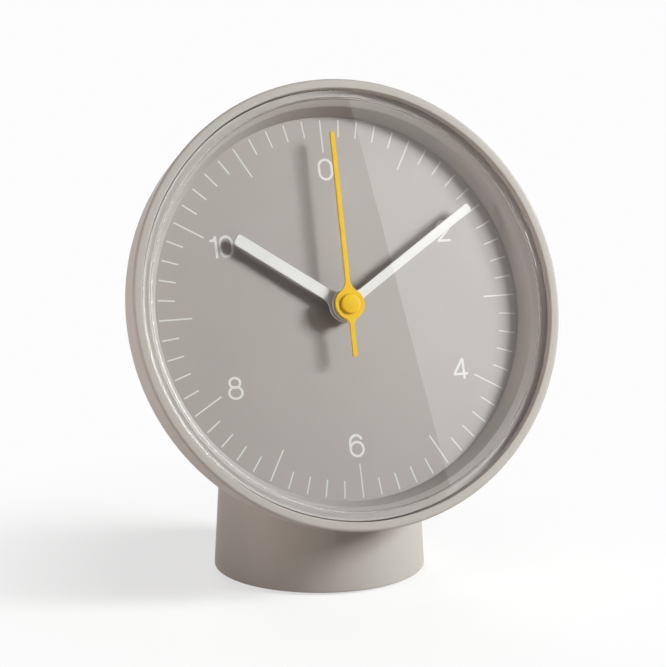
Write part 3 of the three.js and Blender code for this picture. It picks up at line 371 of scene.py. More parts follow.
links.new(tone.outputs["Color"], result.inputs["Colour"])
links.new(added.outputs["Value"], result.inputs["Roughness"])
links.new(lines.outputs["Fac"], result.inputs["Height"])


def metal(name, colour, roughness):
    finish = finish_from(drawn_metal, name, relief=0.000004, Colour=colour, Roughness=roughness)
    finish.node_tree.nodes["Principled BSDF"].inputs["Metallic"].default_value = 1
    return finish


zinced_steel = metal("zinc plated steel", ZINC_GREY, 0.34)
dressed(zinced_steel, "ballast", "ballast_screw", "plate_screw_1", "plate_screw_2", "plate_screw_3")

# Rear housing: a drum of the same grey plastic behind the case, which holds the works.
# It lies in the foot's cradle and carries the bosses for the screws of both covers.
DRUM_RADIUS = 0.0437
DRUM_INNER = 0.0415
DRUM_FRONT = -0.0038
DRUM_BACK = -0.0204
DRUM_ROUND = 0.0003

drum = turned(
    [
        (DRUM_INNER, DRUM_BACK),
        (DRUM_RADIUS, DRUM_BACK),
        (DRUM_RADIUS, DRUM_FRONT),
        (DRUM_INNER, DRUM_FRONT),
    ],
    steps=240,
)
softened(drum, DRUM_ROUND)
piece("drum_wall", on_face(drum), grey_plastic, "case", "grey_plastic", "rear_housing")
dressed(zinced_steel, "foot_screw_1", "foot_screw_2")

# Works: a black case of two halves with the motor, the board and the wheel train.
# Wheels are moulded in cream plastic or cut from brass, and the coil is wound with copper.
WHEEL_CREAM = (0.78, 0.74, 0.64, 1)
BRASS_YELLOW = (0.72, 0.52, 0.22, 1)
COPPER_RED = (0.55, 0.22, 0.09, 1)
MAGNET_GREY = (0.09, 0.09, 0.1, 1)
BOARD_GREEN = (0.018, 0.12, 0.055, 1)

cream_plastic = finish_from(
    moulded_grain, "cream moulded plastic", Colour=WHEEL_CREAM, Grain_Scale=3600, Roughness=0.38
)
brass = metal("drawn brass", BRASS_YELLOW, 0.28)
copper = metal("enamelled copper wire", COPPER_RED, 0.3)
magnet = metal("sintered magnet", MAGNET_GREY, 0.5)
solder_mask = finish_from(
    moulded_grain, "green solder mask", Colour=BOARD_GREEN, Grain_Scale=900, Roughness=0.35
)
dressed(black_plastic, "movement_case", "movement_cover", "chip")
dressed(zinced_steel, "stator", "coil_core", "quartz_can", "motor_screw_1", "motor_screw_2")
dressed(copper, "coil")
dressed(solder_mask, "circuit_board")
dressed(magnet, "rotor_magnet")
dressed(cream_plastic, "rotor_pinion", "intermediate_wheel", "third_wheel")
dressed(cream_plastic, "hour_wheel", "motion_wheel")
dressed(brass, "second_wheel", "minute_wheel", "contact_plus", "contact_minus")

# Battery: one AA cell that lies across the works between two brass contacts.
# A printed sleeve is shrunk round a steel can, with the plus pole as a nipple.
CELL_RADIUS = 0.00725
CELL_HALF = 0.02525
CELL_NIPPLE = 0.0013
CELL_NIPPLE_RADIUS = 0.0027
CELL_LINE = -0.020923
CELL_DEPTH = -0.01285
CAN_INSET = 0.0003
CAN_ROUND = 0.0003
CAN_DROP = 0.0004
CONE_WIDTH = 0.0012
END_DISH = 0.0002
END_DISH_RADII = (0.0045, 0.005)
SLEEVE_THICKNESS = 0.00025
SLEEVE_START = 0.0003
SLEEVE_LAP = 0.0014
SLEEVE_LIP = 0.0002
SLEEVE_ROUND = 0.00012
BAND_START = 0.0125
BODY_GREY = (0.05, 0.055, 0.065, 1)
BAND_SAND = (0.55, 0.5, 0.42, 1)

shoulder = CELL_HALF - CELL_NIPPLE
can = turned(
    [
        (0, -CELL_HALF + END_DISH),
        (END_DISH_RADII[0], -CELL_HALF + END_DISH),
        (END_DISH_RADII[1], -CELL_HALF),
        (CELL_RADIUS - CAN_INSET, -CELL_HALF),
        (CELL_RADIUS - CAN_INSET, shoulder - CAN_DROP),
        (CELL_NIPPLE_RADIUS + CONE_WIDTH, shoulder - CAN_DROP),
        (CELL_NIPPLE_RADIUS, shoulder),
        (CELL_NIPPLE_RADIUS, CELL_HALF),
        (0, CELL_HALF),
    ],
    steps=64,
)
softened(can, CAN_ROUND, segments=2)
sleeve = turned(
    [
        (CELL_RADIUS - SLEEVE_THICKNESS, -CELL_HALF + SLEEVE_START),
        (CELL_RADIUS, -CELL_HALF + SLEEVE_START),
        (CELL_RADIUS, shoulder),
        (CELL_RADIUS - SLEEVE_LAP, shoulder),
        (CELL_RADIUS - SLEEVE_LAP, shoulder - SLEEVE_LIP),
        (CELL_RADIUS - SLEEVE_THICKNESS, shoulder - SLEEVE_LIP),
    ],
    steps=64,
)
softened(sleeve, SLEEVE_ROUND, segments=2)
across = Matrix.Translation((0, CELL_LINE, CELL_DEPTH)) @ Matrix.Rotation(pi / 2, 4, "Y")
for shape in (can, sleeve):
    shape.transform(across)
    on_face(shape)

# the sleeve's print: a dark body with a plain light band at the plus end
sleeve_print, given, result = new_group(
    "sleeve print",
    [
        ("Body", "NodeSocketColor", BODY_GREY),
        ("Band", "NodeSocketColor", BAND_SAND),
        ("Roughness", "NodeSocketFloat", 0.3),
    ],
)
nodes, links = sleeve_print.nodes, sleeve_print.links
place = nodes.new("ShaderNodeTexCoord")
along = nodes.new("ShaderNodeSeparateXYZ")
banded = nodes.new("ShaderNodeMath")
banded.operation = "GREATER_THAN"
banded.inputs[1].default_value = BAND_START
mixed = nodes.new("ShaderNodeMix")
mixed.data_type = "RGBA"
creases = nodes.new("ShaderNodeTexNoise")
creases.inputs["Scale"].default_value = 420
uneven = between(nodes, -0.08, 0.08)
added = nodes.new("ShaderNodeMath")
links.new(place.outputs["Object"], along.inputs["Vector"])
links.new(along.outputs["X"], banded.inputs[0])
links.new(banded.outputs["Value"], mixed.inputs["Factor"])
links.new(given.outputs["Body"], mixed.inputs[6])
links.new(given.outputs["Band"], mixed.inputs[7])
links.new(place.outputs["Object"], creases.inputs["Vector"])
links.new(creases.outputs["Fac"], uneven.inputs["Value"])
links.new(uneven.outputs["Result"], added.inputs[0])
links.new(given.outputs["Roughness"], added.inputs[1])
links.new(mixed.outputs[2], result.inputs["Colour"])
links.new(added.outputs["Value"], result.inputs["Roughness"])
links.new(creases.outputs["Fac"], result.inputs["Height"])
printed_sleeve = finish_from(sleeve_print, "printed cell sleeve")
piece("cell_sleeve", sleeve, printed_sleeve, "case", "cell", "battery")
piece("cell_can", can, zinced_steel, "case", "steel")

# Rear cover: a flat grey disc that closes the drum, held by a screw at each quarter.
# It has a stepped opening over the battery and a round one for the setting knob.
COVER_FRONT = -0.0207
COVER_BACK = -0.0231
COVER_ROUND = 0.0009
OPENING_HALF = (0.02625, 0.00825)
OPENING_CORNER = 0.001
DOOR_STEP = 0.0016
DOOR_RECESS = 0.0014
RECESS_CORNER = 0.002
CUT_LOW, CUT_HIGH = -0.03, -0.02
KNOB_PLACE = (-0.0126, 0, 0)
KNOB_OPENING = 0.007
SCREW_CIRCLE = 0.038905
SCREW_HOLE = 0.00145
CUT_EDGE = 0.00025


def rounded_block(low, high, corner, segments=6):
    """Block whose four upright edges are rounded."""
    shape = block(low, high)
    upright = [edge for edge in shape.edges if abs(edge.verts[0].co.z - edge.verts[1].co.z) > 1e-6]
    bmesh.ops.bevel(
        shape,
        geom=upright,
        offset=corner,
        offset_type="OFFSET",
        segments=segments,
        profile=0.5,
        affect="EDGES",
        clamp_overlap=True,
        material=-1,
    )
    return shape


def moved(shape, place):
    bmesh.ops.translate(shape, verts=shape.verts, vec=place)
    return shape


def rod(radius, low, high, steps=48):
    return turned([(0, low), (radius, low), (radius, high), (0, high)], steps)


half_x, half_y = OPENING_HALF
cover = rod(DRUM_RADIUS, COVER_BACK, COVER_FRONT, steps=240)
softened(cover, COVER_ROUND, lambda middle: middle.z < (COVER_FRONT + COVER_BACK) / 2)
opening = rounded_block(
    (-half_x, CELL_LINE - half_y, CUT_LOW), (half_x, CELL_LINE + half_y, CUT_HIGH), OPENING_CORNER
)
recess = rounded_block(
    (-half_x - DOOR_STEP, CELL_LINE - half_y - DOOR_STEP, CUT_LOW),
    (half_x + DOOR_STEP, CELL_LINE + half_y + DOOR_STEP, COVER_BACK + DOOR_RECESS),
    RECESS_CORNER,
)
knob_hole = moved(rod(KNOB_OPENING, CUT_LOW, CUT_HIGH, steps=96), KNOB_PLACE)
quarters = [quarter * pi / 2 for quarter in range(4)]
screw_places = [(SCREW_CIRCLE * cos(turn), SCREW_CIRCLE * sin(turn), 0) for turn in quarters]
screw_holes = [moved(rod(SCREW_HOLE, CUT_LOW, CUT_HIGH), spot) for spot in screw_places]
cover = carved(cover, opening, recess, knob_hole, *screw_holes)
inside = DRUM_RADIUS - 2 * COVER_ROUND
softened(
    cover,
    CUT_EDGE,
    lambda middle: middle.z < COVER_BACK + CUT_EDGE / 2 and hypot(middle.x, middle.y) < inside,
    segments=2,
    sharper_than=radians(60),
)
piece("drum_cover", on_face(cover), grey_plastic, "case", "grey_plastic", "rear_cover")

# Cover screws: four zinc plated steel screws with slotted pan heads.
# They hold the rear cover and are turned into the bosses of the drum.
SCREW_SHANK = 0.00125
SCREW_HEAD = 0.0025
HEAD_TOP = -0.0247
HEAD_SEAT = -0.0231
SCREW_END = -0.0147
SCREW_POINT = 0.0006
SLOT_HALF = 0.00035
SLOT_FLOOR = -0.0239
SLOT_TURN = 0.9
# the pan's dome, as shares of the head's radius and heights under its top
DOME = ((0.55, 0.00004), (0.86, 0.0003), (1, 0.0008))

for number, spot in enumerate(screw_places, 1):
    screw = turned(
        [
            (0, HEAD_TOP),
            *[(SCREW_HEAD * share, HEAD_TOP + drop) for share, drop in DOME],
            (SCREW_HEAD, HEAD_SEAT),
            (SCREW_SHANK, HEAD_SEAT),
            (SCREW_SHANK, SCREW_END),
            (0, SCREW_END + SCREW_POINT),
        ],
        steps=40,
    )
    slot = block((-2 * SCREW_HEAD, -SLOT_HALF, CUT_LOW), (2 * SCREW_HEAD, SLOT_HALF, SLOT_FLOOR))
    slot.transform(Matrix.Rotation(number * SLOT_TURN, 4, "Z"))
    screw = on_face(moved(carved(screw, slot), spot))
    piece(f"pan_head_{number}", screw, zinced_steel, "case", "steel", f"cover_screw_{number}")

# Battery door: a plain panel of the same grey plastic, with a scoop for a finger.
# A plug on its inner side snaps into the cover's opening.
PANEL_HALF = (0.02755, 0.00955)
PLUG_HALF = (0.02595, 0.00795)
PANEL_FRONT = -0.022
PANEL_CORNER = 0.0018
PLUG_CORNER = 0.0008
PLUG_LAP = 0.0003
SCOOP_RADIUS = 0.0035
SCOOP_HALF = 0.007
SCOOP_LINE = -0.0158
SCOOP_DEPTH = 0.0006

panel = rounded_block(
    (-PANEL_HALF[0], CELL_LINE - PANEL_HALF[1], COVER_BACK),
    (PANEL_HALF[0], CELL_LINE + PANEL_HALF[1], PANEL_FRONT),
    PANEL_CORNER,
)
plug = rounded_block(
    (-PLUG_HALF[0], CELL_LINE - PLUG_HALF[1], PANEL_FRONT - PLUG_LAP),
    (PLUG_HALF[0], CELL_LINE + PLUG_HALF[1], COVER_FRONT),
    PLUG_CORNER,
)
scoop = rod(SCOOP_RADIUS, -SCOOP_HALF, SCOOP_HALF, steps=64)
scoop.transform(Matrix.Rotation(pi / 2, 4, "Y"))
moved(scoop, (0, SCOOP_LINE, COVER_BACK + SCOOP_DEPTH - SCOOP_RADIUS))
door = carved(carved(panel, scoop), plug, operation="UNION")
softened(
    door,
    CUT_EDGE,
    lambda middle: middle.z < COVER_BACK + CUT_EDGE / 2,
    segments=2,
    sharper_than=radians(20),
)
piece("door_panel", on_face(door), grey_plastic, "door", "grey_plastic", "battery_door")

# Setting knob: a scalloped wheel of black plastic with a dished end.
# It is pressed on the setting arbor and stands a little proud of the cover.
KNOB_RADIUS = 0.006
KNOB_FRONT = -0.0194
KNOB_BACK = -0.0241
KNOB_GRIPS = 18
KNOB_ROUND = 0.0004
GRIP_RADIUS = 0.0007
GRIP_CIRCLE = 0.0063
GRIP_HIGH = -0.018
DISH_RADIUS = 0.0036
DISH_DEPTH = 0.0004
ARBOR_HOLE = 0.00095
ARBOR_END = -0.02205

knob = turned(
    [
        (0, KNOB_BACK + DISH_DEPTH),
        (DISH_RADIUS, KNOB_BACK + DISH_DEPTH),
        (DISH_RADIUS + DISH_DEPTH, KNOB_BACK),
        (KNOB_RADIUS, KNOB_BACK),
        (KNOB_RADIUS, KNOB_FRONT),
        (ARBOR_HOLE, KNOB_FRONT),
        (ARBOR_HOLE, ARBOR_END),
        (0, ARBOR_END),
    ],
    steps=144,
)
softened(knob, KNOB_ROUND, lambda middle: hypot(middle.x, middle.y) > KNOB_RADIUS - KNOB_ROUND / 4)
grips = []
for grip in range(KNOB_GRIPS):
    turn = 2 * pi * grip / KNOB_GRIPS
    spot = (GRIP_CIRCLE * cos(turn), GRIP_CIRCLE * sin(turn), 0)
    grips.append(moved(rod(GRIP_RADIUS, CUT_LOW, GRIP_HIGH, steps=16), spot))
knob = moved(carved(knob, *grips), KNOB_PLACE)
piece("knob_wheel", on_face(knob), black_plastic, "setting", "black_plastic", "set_knob")

# Front case: a shallow round pan of grey plastic with a drafted wall and a softly rounded rim.
# The drum is screwed to its floor from the dial side, and so are the works.
RIM_RADIUS = 0.071
RIM_INNER = 0.0679
RIM_FRONT = 0.011
FLOOR_FRONT = -0.0013
FLOOR_BACK = -0.0035
BUSHING_HOLE = 0.0045
CASE_DRAFT = tan(radians(6))
RIM_ROUND = 0.001
LIP_ROUND = 0.0004
LIP_REACH = 0.0003
BACK_ROUND = 0.0016
BACK_REACH = 0.0005
BACK_SHARE = 0.9

back_radius = RIM_RADIUS - (RIM_FRONT - FLOOR_BACK) * CASE_DRAFT
pan = turned(
    [
        (BUSHING_HOLE, FLOOR_BACK),
        (back_radius, FLOOR_BACK),
        (RIM_RADIUS, RIM_FRONT),
        (RIM_INNER, RIM_FRONT),
        (RIM_INNER, FLOOR_FRONT),
        (BUSHING_HOLE, FLOOR_FRONT),
    ],
    steps=360,
)
near_front = RIM_FRONT - RIM_ROUND
near_back = FLOOR_BACK + BACK_REACH
near_rim = RIM_RADIUS - RIM_ROUND
near_lip = RIM_INNER + LIP_REACH
near_edge = BACK_SHARE * back_radius
softened(
    pan,
    RIM_ROUND,
    lambda middle: middle.z > near_front and hypot(middle.x, middle.y) > near_rim,
    segments=8,
)
softened(pan, LIP_ROUND, lambda middle: middle.z > near_front and hypot(middle.x, middle.y) < near_lip)
softened(
    pan,
    BACK_ROUND,
    lambda middle: middle.z < near_back and hypot(middle.x, middle.y) > near_edge,
    segments=5,
)
piece("case_pan", on_face(pan), grey_plastic, "case", "grey_plastic", "front_case")
case_screws = [f"case_screw_{number}" for number in range(1, 5)]
dressed(zinced_steel, *case_screws, "works_screw_1", "works_screw_2")

# Dial: a flat disc sprayed in matt warm grey, held down at its edge by the ring.
# The minute marks and the even numbers are screen printed on it in white.
DIAL_RADIUS = 0.0676
DIAL_HOLE = 0.0029
DIAL_THICKNESS = 0.001
# the dial's own warm grey, set a little darker as painted shade for the light the lens takes away,
# since the lens casts no shadow
DIAL_GREY_AND_LENS_SHADE = (0.272, 0.245, 0.231, 1)
PRINT_WHITE = (0.6, 0.59, 0.575, 1)
PRINT_THICKNESS = 0.00002
MARK_END = 0.06
LONG_MARK = 0.0106
SHORT_MARK = 0.0055
MARK_WIDTH = 0.00042
NUMBER_CIRCLE = 0.0442
PEN = 0.00078
ARC_STEP = 7

disc = turned(
    [
        (DIAL_HOLE, -DIAL_THICKNESS),
        (DIAL_RADIUS, -DIAL_THICKNESS),
        (DIAL_RADIUS, 0),
        (DIAL_HOLE, 0),
    ],
    steps=240,
)
# the dial paint carries that painted shade under the lens as well as its own grey
dial_paint = finish_from(
    moulded_grain,
    "matt dial paint and lens shade",
    relief=0.000001,
    Colour=DIAL_GREY_AND_LENS_SHADE,
    Grain_Scale=5000,
    Roughness=0.48,
    Unevenness=0.03,
)
piece("dial_disc", on_face(disc), dial_paint, "case", "dial_paint", "dial")

# screen print: white ink that lies a little unevenly
screen_ink, given, result = new_group(
    "screen ink",
    [("Colour", "NodeSocketColor", PRINT_WHITE), ("Roughness", "NodeSocketFloat", 0.5)],
)
nodes, links = screen_ink.nodes, screen_ink.links
place = nodes.new("ShaderNodeTexCoord")
mesh_marks = nodes.new("ShaderNodeTexNoise")
mesh_marks.inputs["Scale"].default_value = 3800
shade = between(nodes, 0.94, 1.03)
tone = nodes.new("ShaderNodeHueSaturation")
uneven = between(nodes, -0.08, 0.08)
added = nodes.new("ShaderNodeMath")
links.new(place.outputs["Object"], mesh_marks.inputs["Vector"])
links.new(mesh_marks.outputs["Fac"], shade.inputs["Value"])
links.new(mesh_marks.outputs["Fac"], uneven.inputs["Value"])
links.new(shade.outputs["Result"], tone.inputs["Value"])
links.new(given.outputs["Colour"], tone.inputs["Color"])
links.new(uneven.outputs["Result"], added.inputs[0])
links.new(given.outputs["Roughness"], added.inputs[1])
links.new(tone.outputs["Color"], result.inputs["Colour"])
links.new(added.outputs["Value"], result.inputs["Roughness"])
links.new(mesh_marks.outputs["Fac"], result.inputs["Height"])
white_ink = finish_from(screen_ink, "white screen ink", relief=0.000003, gloss=0.25)

marks = bmesh.new()
for minute in range(60):
    length = SHORT_MARK if minute % 5 else LONG_MARK
    way = Matrix.Rotation(-2 * pi * minute / 60, 4, "Z")
    middle = Matrix.Translation((0, MARK_END - length / 2, PRINT_THICKNESS / 2))
    size = Matrix.Diagonal((MARK_WIDTH, length, PRINT_THICKNESS, 1))
    bmesh.ops.create_cube(marks, size=1, matrix=way @ middle @ size)
piece("minute_marks", on_face(marks), white_ink, "case", "white_paint")


def pen_line(start, end):
    """Straight stroke with square ends."""
    run = Vector((end[0] - start[0], end[1] - start[1], 0))
    stroke = block((0, -PEN / 2, 0), (run.length, PEN / 2, PRINT_THICKNESS))
    stroke.transform(Matrix.Rotation(atan2(run.y, run.x), 4, "Z"))
    return moved(stroke, (*start, 0))


def pen_arc(centre, radius, start, sweep, rise=1):
    """Curved stroke round a centre, with its angles in degrees, stretched upwards by its rise."""
    inner, outer = radius - PEN / 2, radius + PEN / 2
    nib = [(inner, 0), (outer, 0), (outer, PRINT_THICKNESS), (inner, PRINT_THICKNESS)]
    stroke = turned(nib, int(abs(sweep) / ARC_STEP), radians(sweep))
    stroke.transform(Matrix.Rotation(radians(start), 4, "Z"))
    bmesh.ops.scale(stroke, verts=stroke.verts, vec=(1, rise, 1))
    return moved(stroke, (*centre, 0))


def nought(half_width):
    return [
        pen_arc((0, 0.00095), half_width, 0, 180, 0.00219 / half_width),
        pen_arc((0, -0.00095), half_width, 180, 180, 0.00219 / half_width),
        pen_line((-half_width, -0.001), (-half_width, 0.001)),
        pen_line((half_width, -0.001), (half_width, 0.001)),
    ]


def one():
    return [
        pen_line((0.0006, -0.0035), (0.0006, 0.0035)),
        pen_line((-0.0013, 0.0021), (0.0002, 0.0021)),
        pen_arc((-0.0008, 0.0034), 0.0013, -80, 80),
    ]


def two():
    return [
        pen_arc((0, 0.00118), 0.00195, 170, -205),
        pen_line((0.00177, 0.00036), (-0.00185, -0.00295)),
        pen_line((-0.0023, -0.00311), (0.00235, -0.00311)),
    ]


def four():
    return [
        pen_line((0.00105, -0.0034), (0.00105, 0.0033)),
        pen_line((-0.0025, -0.00168), (0.0024, -0.00168)),
        pen_line((-0.0023, -0.0016), (0.00095, 0.0031)),
    ]


def six():
    return [
        pen_arc((0, -0.00105), 0.00216, 0, 360, 1.02),
        pen_line((-0.00216, -0.00105), (-0.00216, 0.00085)),
        pen_arc((0, 0.00084), 0.00216, 182, -92, 1.12),
        pen_arc((0, 0.00147), 0.0018, 91, -80),
    ]


def eight():
    return [
        pen_arc((0, 0.00168), 0.00172, 0, 360, 0.88),
        pen_arc((0, -0.00141), 0.00214, 0, 360, 0.84),
    ]


# each number's strokes, and how far it is set off its hour to look evenly spaced
numbers = bmesh.new()
for hour, across, up, strokes in (
    (0, 0.0001, -0.0002, nought(0.00214)),
    (2, -0.0003, 0, two()),
    (4, -0.0001, -0.0004, four()),
    (6, -0.0003, 0.0005, six()),
    (8, 0.0003, -0.0004, eight()),
    (10, -0.0014, -0.0006, one()),
    (10, 0.0025, -0.0006, nought(0.00196)),
):
    digit = carved(strokes[0], *strokes[1:], operation="UNION")
    turn = radians(30 * hour)
    moved(digit, (NUMBER_CIRCLE * sin(turn) + across, NUMBER_CIRCLE * cos(turn) + up, 0))
    drawn = bpy.data.meshes.new("digit")
    digit.to_mesh(drawn)
    digit.free()
    numbers.from_mesh(drawn)
    bpy.data.meshes.remove(drawn)
piece("dial_numbers", on_face(numbers), white_ink, "case", "white_paint")

# Dial ring: a grey moulded ring that presses the dial's edge down and rises to the lens.
# Its steep inner wall breaks into a shallow slope, up to the ledge on which the lens stands.
RING_GREY = (0.318, 0.293, 0.278, 1)
RING_INNER = 0.0609
RING_OUTER = 0.0676
RING_BASE = 0.0003
RING_BREAK = 0.06305
RING_WALL = 0.006
RING_LEDGE = 0.065
RING_TOP = 0.0074
RING_ROUND = 0.0003

ring = turned(
    [
        (RING_INNER, RING_BASE),
        (RING_OUTER, RING_BASE),
        (RING_OUTER, RING_TOP),
        (RING_LEDGE, RING_TOP),
        (RING_BREAK, RING_WALL),
    ],
    steps=360,
)
softened(ring, RING_ROUND, lambda middle: middle.z > RING_WALL - RING_ROUND / 2, segments=4)
ring_plastic = finish_from(
    moulded_grain, "grey ring plastic", gloss=0.4, Colour=RING_GREY, Roughness=0.5
)
piece("ledge_ring", on_face(ring), ring_plastic, "case", "grey_plastic", "dial_ring")

# Hour and minute hands: stamped sheet, painted white, each pressed on its pipe by a round hub.
# The blades are straight, with rounded ends, and run into the hubs in small hollow curves.
HAND_THICKNESS = 0.0008
HAND_CORNER = 0.001
HAND_EDGE = 0.00012
HAND_WHITE = (0.63, 0.625, 0.615, 1)
HOUR_LENGTH, HOUR_WIDTH = 0.0409, 0.0038
HOUR_HUB, HOUR_HOLLOW, HOUR_BORE = 0.0053, 0.004, 0.00275
HOUR_BASE = 0.0029
HOUR_ANGLE = 304.8
MINUTE_LENGTH, MINUTE_WIDTH = 0.0539, 0.0029
MINUTE_HUB, MINUTE_HOLLOW, MINUTE_BORE = 0.005, 0.003, 0.00165
MINUTE_BASE = 0.0049
MINUTE_ANGLE = 57.8


def run_to(outline, end, x, y):
    """Straight stretch of an outline, from its end to a new one."""
    end = bmesh.ops.extrude_vert_indiv(outline, verts=[end])["verts"][0]
    end.co = (x, y, 0)
    return end


def bend(outline, end, centre, angle, steps=14):
    """Round stretch of an outline, turned about a centre."""
    swept = bmesh.ops.spin(
        outline, geom=[end], cent=(*centre, 0), axis=(0, 0, 1), angle=angle, steps=steps
    )
    return [item for item in swept["geom_last"] if isinstance(item, bmesh.types.BMVert)][0]


def plate_from(outline, low, thickness):
    """Flat plate of a half outline and its mirror image."""
    bmesh.ops.remove_doubles(outline, verts=outline.verts, dist=1e-7)
    bmesh.ops.contextual_create(outline, geom=outline.edges)
    half = [*outline.verts, *outline.edges, *outline.faces]
    bmesh.ops.mirror(outline, geom=half, axis="X", merge_dist=1e-6)
    bmesh.ops.translate(outline, verts=outline.verts, vec=(0, 0, low))
    raised = bmesh.ops.extrude_face_region(outline, geom=outline.faces, use_keep_orig=True)["geom"]
    upper = [item for item in raised if isinstance(item, bmesh.types.BMVert)]
    bmesh.ops.translate(outline, verts=upper, vec=(0, 0, thickness))
    bmesh.ops.recalc_face_normals(outline, faces=outline.faces)
    return outline


def straight_hand(length, width, hub, hollow, bore, low, clock_angle):
    """Hand of a straight blade and a round hub, at its place and turned from the twelve in degrees."""
    half = width / 2
    outline = bmesh.new()
    tip = outline.verts.new((0, length, 0))
    end = run_to(outline, tip, half - HAND_CORNER, length)
    end = bend(outline, end, (half - HAND_CORNER, length - HAND_CORNER), -pi / 2)
    rise = sqrt((hub + hollow) ** 2 - (half + hollow) ** 2)
    meeting = atan2(rise, half + hollow)
    end = run_to(outline, end, half, rise)
    end = bend(outline, end, (half + hollow, rise), meeting)
    end = bend(outline, end, (0, 0), -(meeting + pi / 2), steps=40)
    end = run_to(outline, end, 0, -bore)
    end = bend(outline, end, (0, 0), pi, steps=32)
    outline.edges.new([end, tip])
    hand = plate_from(outline, low, HAND_THICKNESS)
    softened(hand, HAND_EDGE, segments=2, sharper_than=radians(60))
    hand.transform(Matrix.Rotation(-radians(clock_angle), 4, "Z"))
    return on_face(hand)


# sprayed paint: a smooth coat with a faint orange peel
sprayed_paint, given, result = new_group(
    "sprayed paint",
    [("Colour", "NodeSocketColor", HAND_WHITE), ("Roughness", "NodeSocketFloat", 0.5)],
)
nodes, links = sprayed_paint.nodes, sprayed_paint.links
place = nodes.new("ShaderNodeTexCoord")
peel = nodes.new("ShaderNodeTexNoise")
peel.inputs["Scale"].default_value = 1300
coat = nodes.new("ShaderNodeTexNoise")
coat.inputs["Scale"].default_value = 90
shade = between(nodes, 0.97, 1.02)
tone = nodes.new("ShaderNodeHueSaturation")
uneven = between(nodes, -0.05, 0.05)
added = nodes.new("ShaderNodeMath")
links.new(place.outputs["Object"], peel.inputs["Vector"])
links.new(place.outputs["Object"], coat.inputs["Vector"])
links.new(coat.outputs["Fac"], shade.inputs["Value"])
links.new(shade.outputs["Result"], tone.inputs["Value"])
links.new(given.outputs["Colour"], tone.inputs["Color"])
links.new(peel.outputs["Fac"], uneven.inputs["Value"])
links.new(uneven.outputs["Result"], added.inputs[0])
links.new(given.outputs["Roughness"], added.inputs[1])
links.new(tone.outputs["Color"], result.inputs["Colour"])
links.new(added.outputs["Value"], result.inputs["Roughness"])
links.new(peel.outputs["Fac"], result.inputs["Height"])
white_paint = finish_from(sprayed_paint, "white sprayed paint", relief=0.000003, gloss=0.3)

hour_blade = straight_hand(
    HOUR_LENGTH, HOUR_WIDTH, HOUR_HUB, HOUR_HOLLOW, HOUR_BORE, HOUR_BASE, HOUR_ANGLE
)
piece("hour_blade", hour_blade, white_paint, "hours", "white_paint", "hour_hand")
minute_blade = straight_hand(
    MINUTE_LENGTH, MINUTE_WIDTH, MINUTE_HUB, MINUTE_HOLLOW, MINUTE_BORE, MINUTE_BASE, MINUTE_ANGLE
)
piece("minute_blade", minute_blade, white_paint, "minutes", "white_paint", "minute_hand")

# Second hand: a slim yellow blade and tail that flare into a disc, with a raised cap on it.
# The cap's hollow stem is pressed on the seconds arbor.
SECOND_LENGTH = 0.0545
SECOND_TAIL = 0.0165
SECOND_HALF = 0.00075
SECOND_DISC = 0.0049
BLADE_FLARE = 0.0045
TAIL_FLARE = 0.0028
SECOND_BASE = 0.0069
SECOND_ANGLE = 0.8
STEM_HOLE = 0.00135
SIGNAL_YELLOW = (0.68, 0.42, 0.008, 1)

outline = bmesh.new()
tip = outline.verts.new((0, SECOND_LENGTH, 0))
end = run_to(outline, tip, SECOND_HALF, SECOND_LENGTH)
blade_rise = sqrt((SECOND_DISC + BLADE_FLARE) ** 2 - (SECOND_HALF + BLADE_FLARE) ** 2)
blade_meeting = atan2(blade_rise, SECOND_HALF + BLADE_FLARE)
tail_rise = sqrt((SECOND_DISC + TAIL_FLARE) ** 2 - (SECOND_HALF + TAIL_FLARE) ** 2)
tail_meeting = atan2(tail_rise, SECOND_HALF + TAIL_FLARE)
end = run_to(outline, end, SECOND_HALF, blade_rise)
end = bend(outline, end, (SECOND_HALF + BLADE_FLARE, blade_rise), blade_meeting)
end = bend(outline, end, (0, 0), -(blade_meeting + tail_meeting), steps=40)
end = bend(outline, end, (SECOND_HALF + TAIL_FLARE, -tail_rise), tail_meeting)
end = run_to(outline, end, SECOND_HALF, -SECOND_TAIL)
end = run_to(outline, end, 0, -SECOND_TAIL)
end = run_to(outline, end, 0, -STEM_HOLE)
end = bend(outline, end, (0, 0), pi, steps=32)
outline.edges.new([end, tip])
second_blade = plate_from(outline, SECOND_BASE, HAND_THICKNESS)
softened(second_blade, HAND_EDGE, segments=2, sharper_than=radians(60))
second_blade.transform(Matrix.Rotation(-radians(SECOND_ANGLE), 4, "Z"))
yellow_paint = finish_from(
    sprayed_paint, "yellow sprayed paint", relief=0.000003, gloss=0.15, Colour=SIGNAL_YELLOW
)
piece("second_blade", on_face(second_blade), yellow_paint, "seconds", "yellow_paint", "second_hand")

CAP_RADIUS = 0.0031
CAP_BASE = 0.0077
CAP_FRONT = 0.0086
CAP_ROUND = 0.0004
STEM_RADIUS = 0.0012
STEM_BASE = 0.006
ARBOR_BORE = 0.00065

cap = turned(
    [
        (0, CAP_BASE),
        (ARBOR_BORE, CAP_BASE),
        (ARBOR_BORE, STEM_BASE),
        (STEM_RADIUS, STEM_BASE),
        (STEM_RADIUS, CAP_BASE),
        (CAP_RADIUS, CAP_BASE),
        (CAP_RADIUS, CAP_FRONT),
        (0, CAP_FRONT),
    ],
    steps=96,
)
softened(cap, CAP_ROUND, lambda middle: middle.z > CAP_FRONT - CAP_ROUND / 4, segments=4)
piece("second_cap", on_face(cap), yellow_paint, "seconds", "yellow_paint", "second_hand_cap")

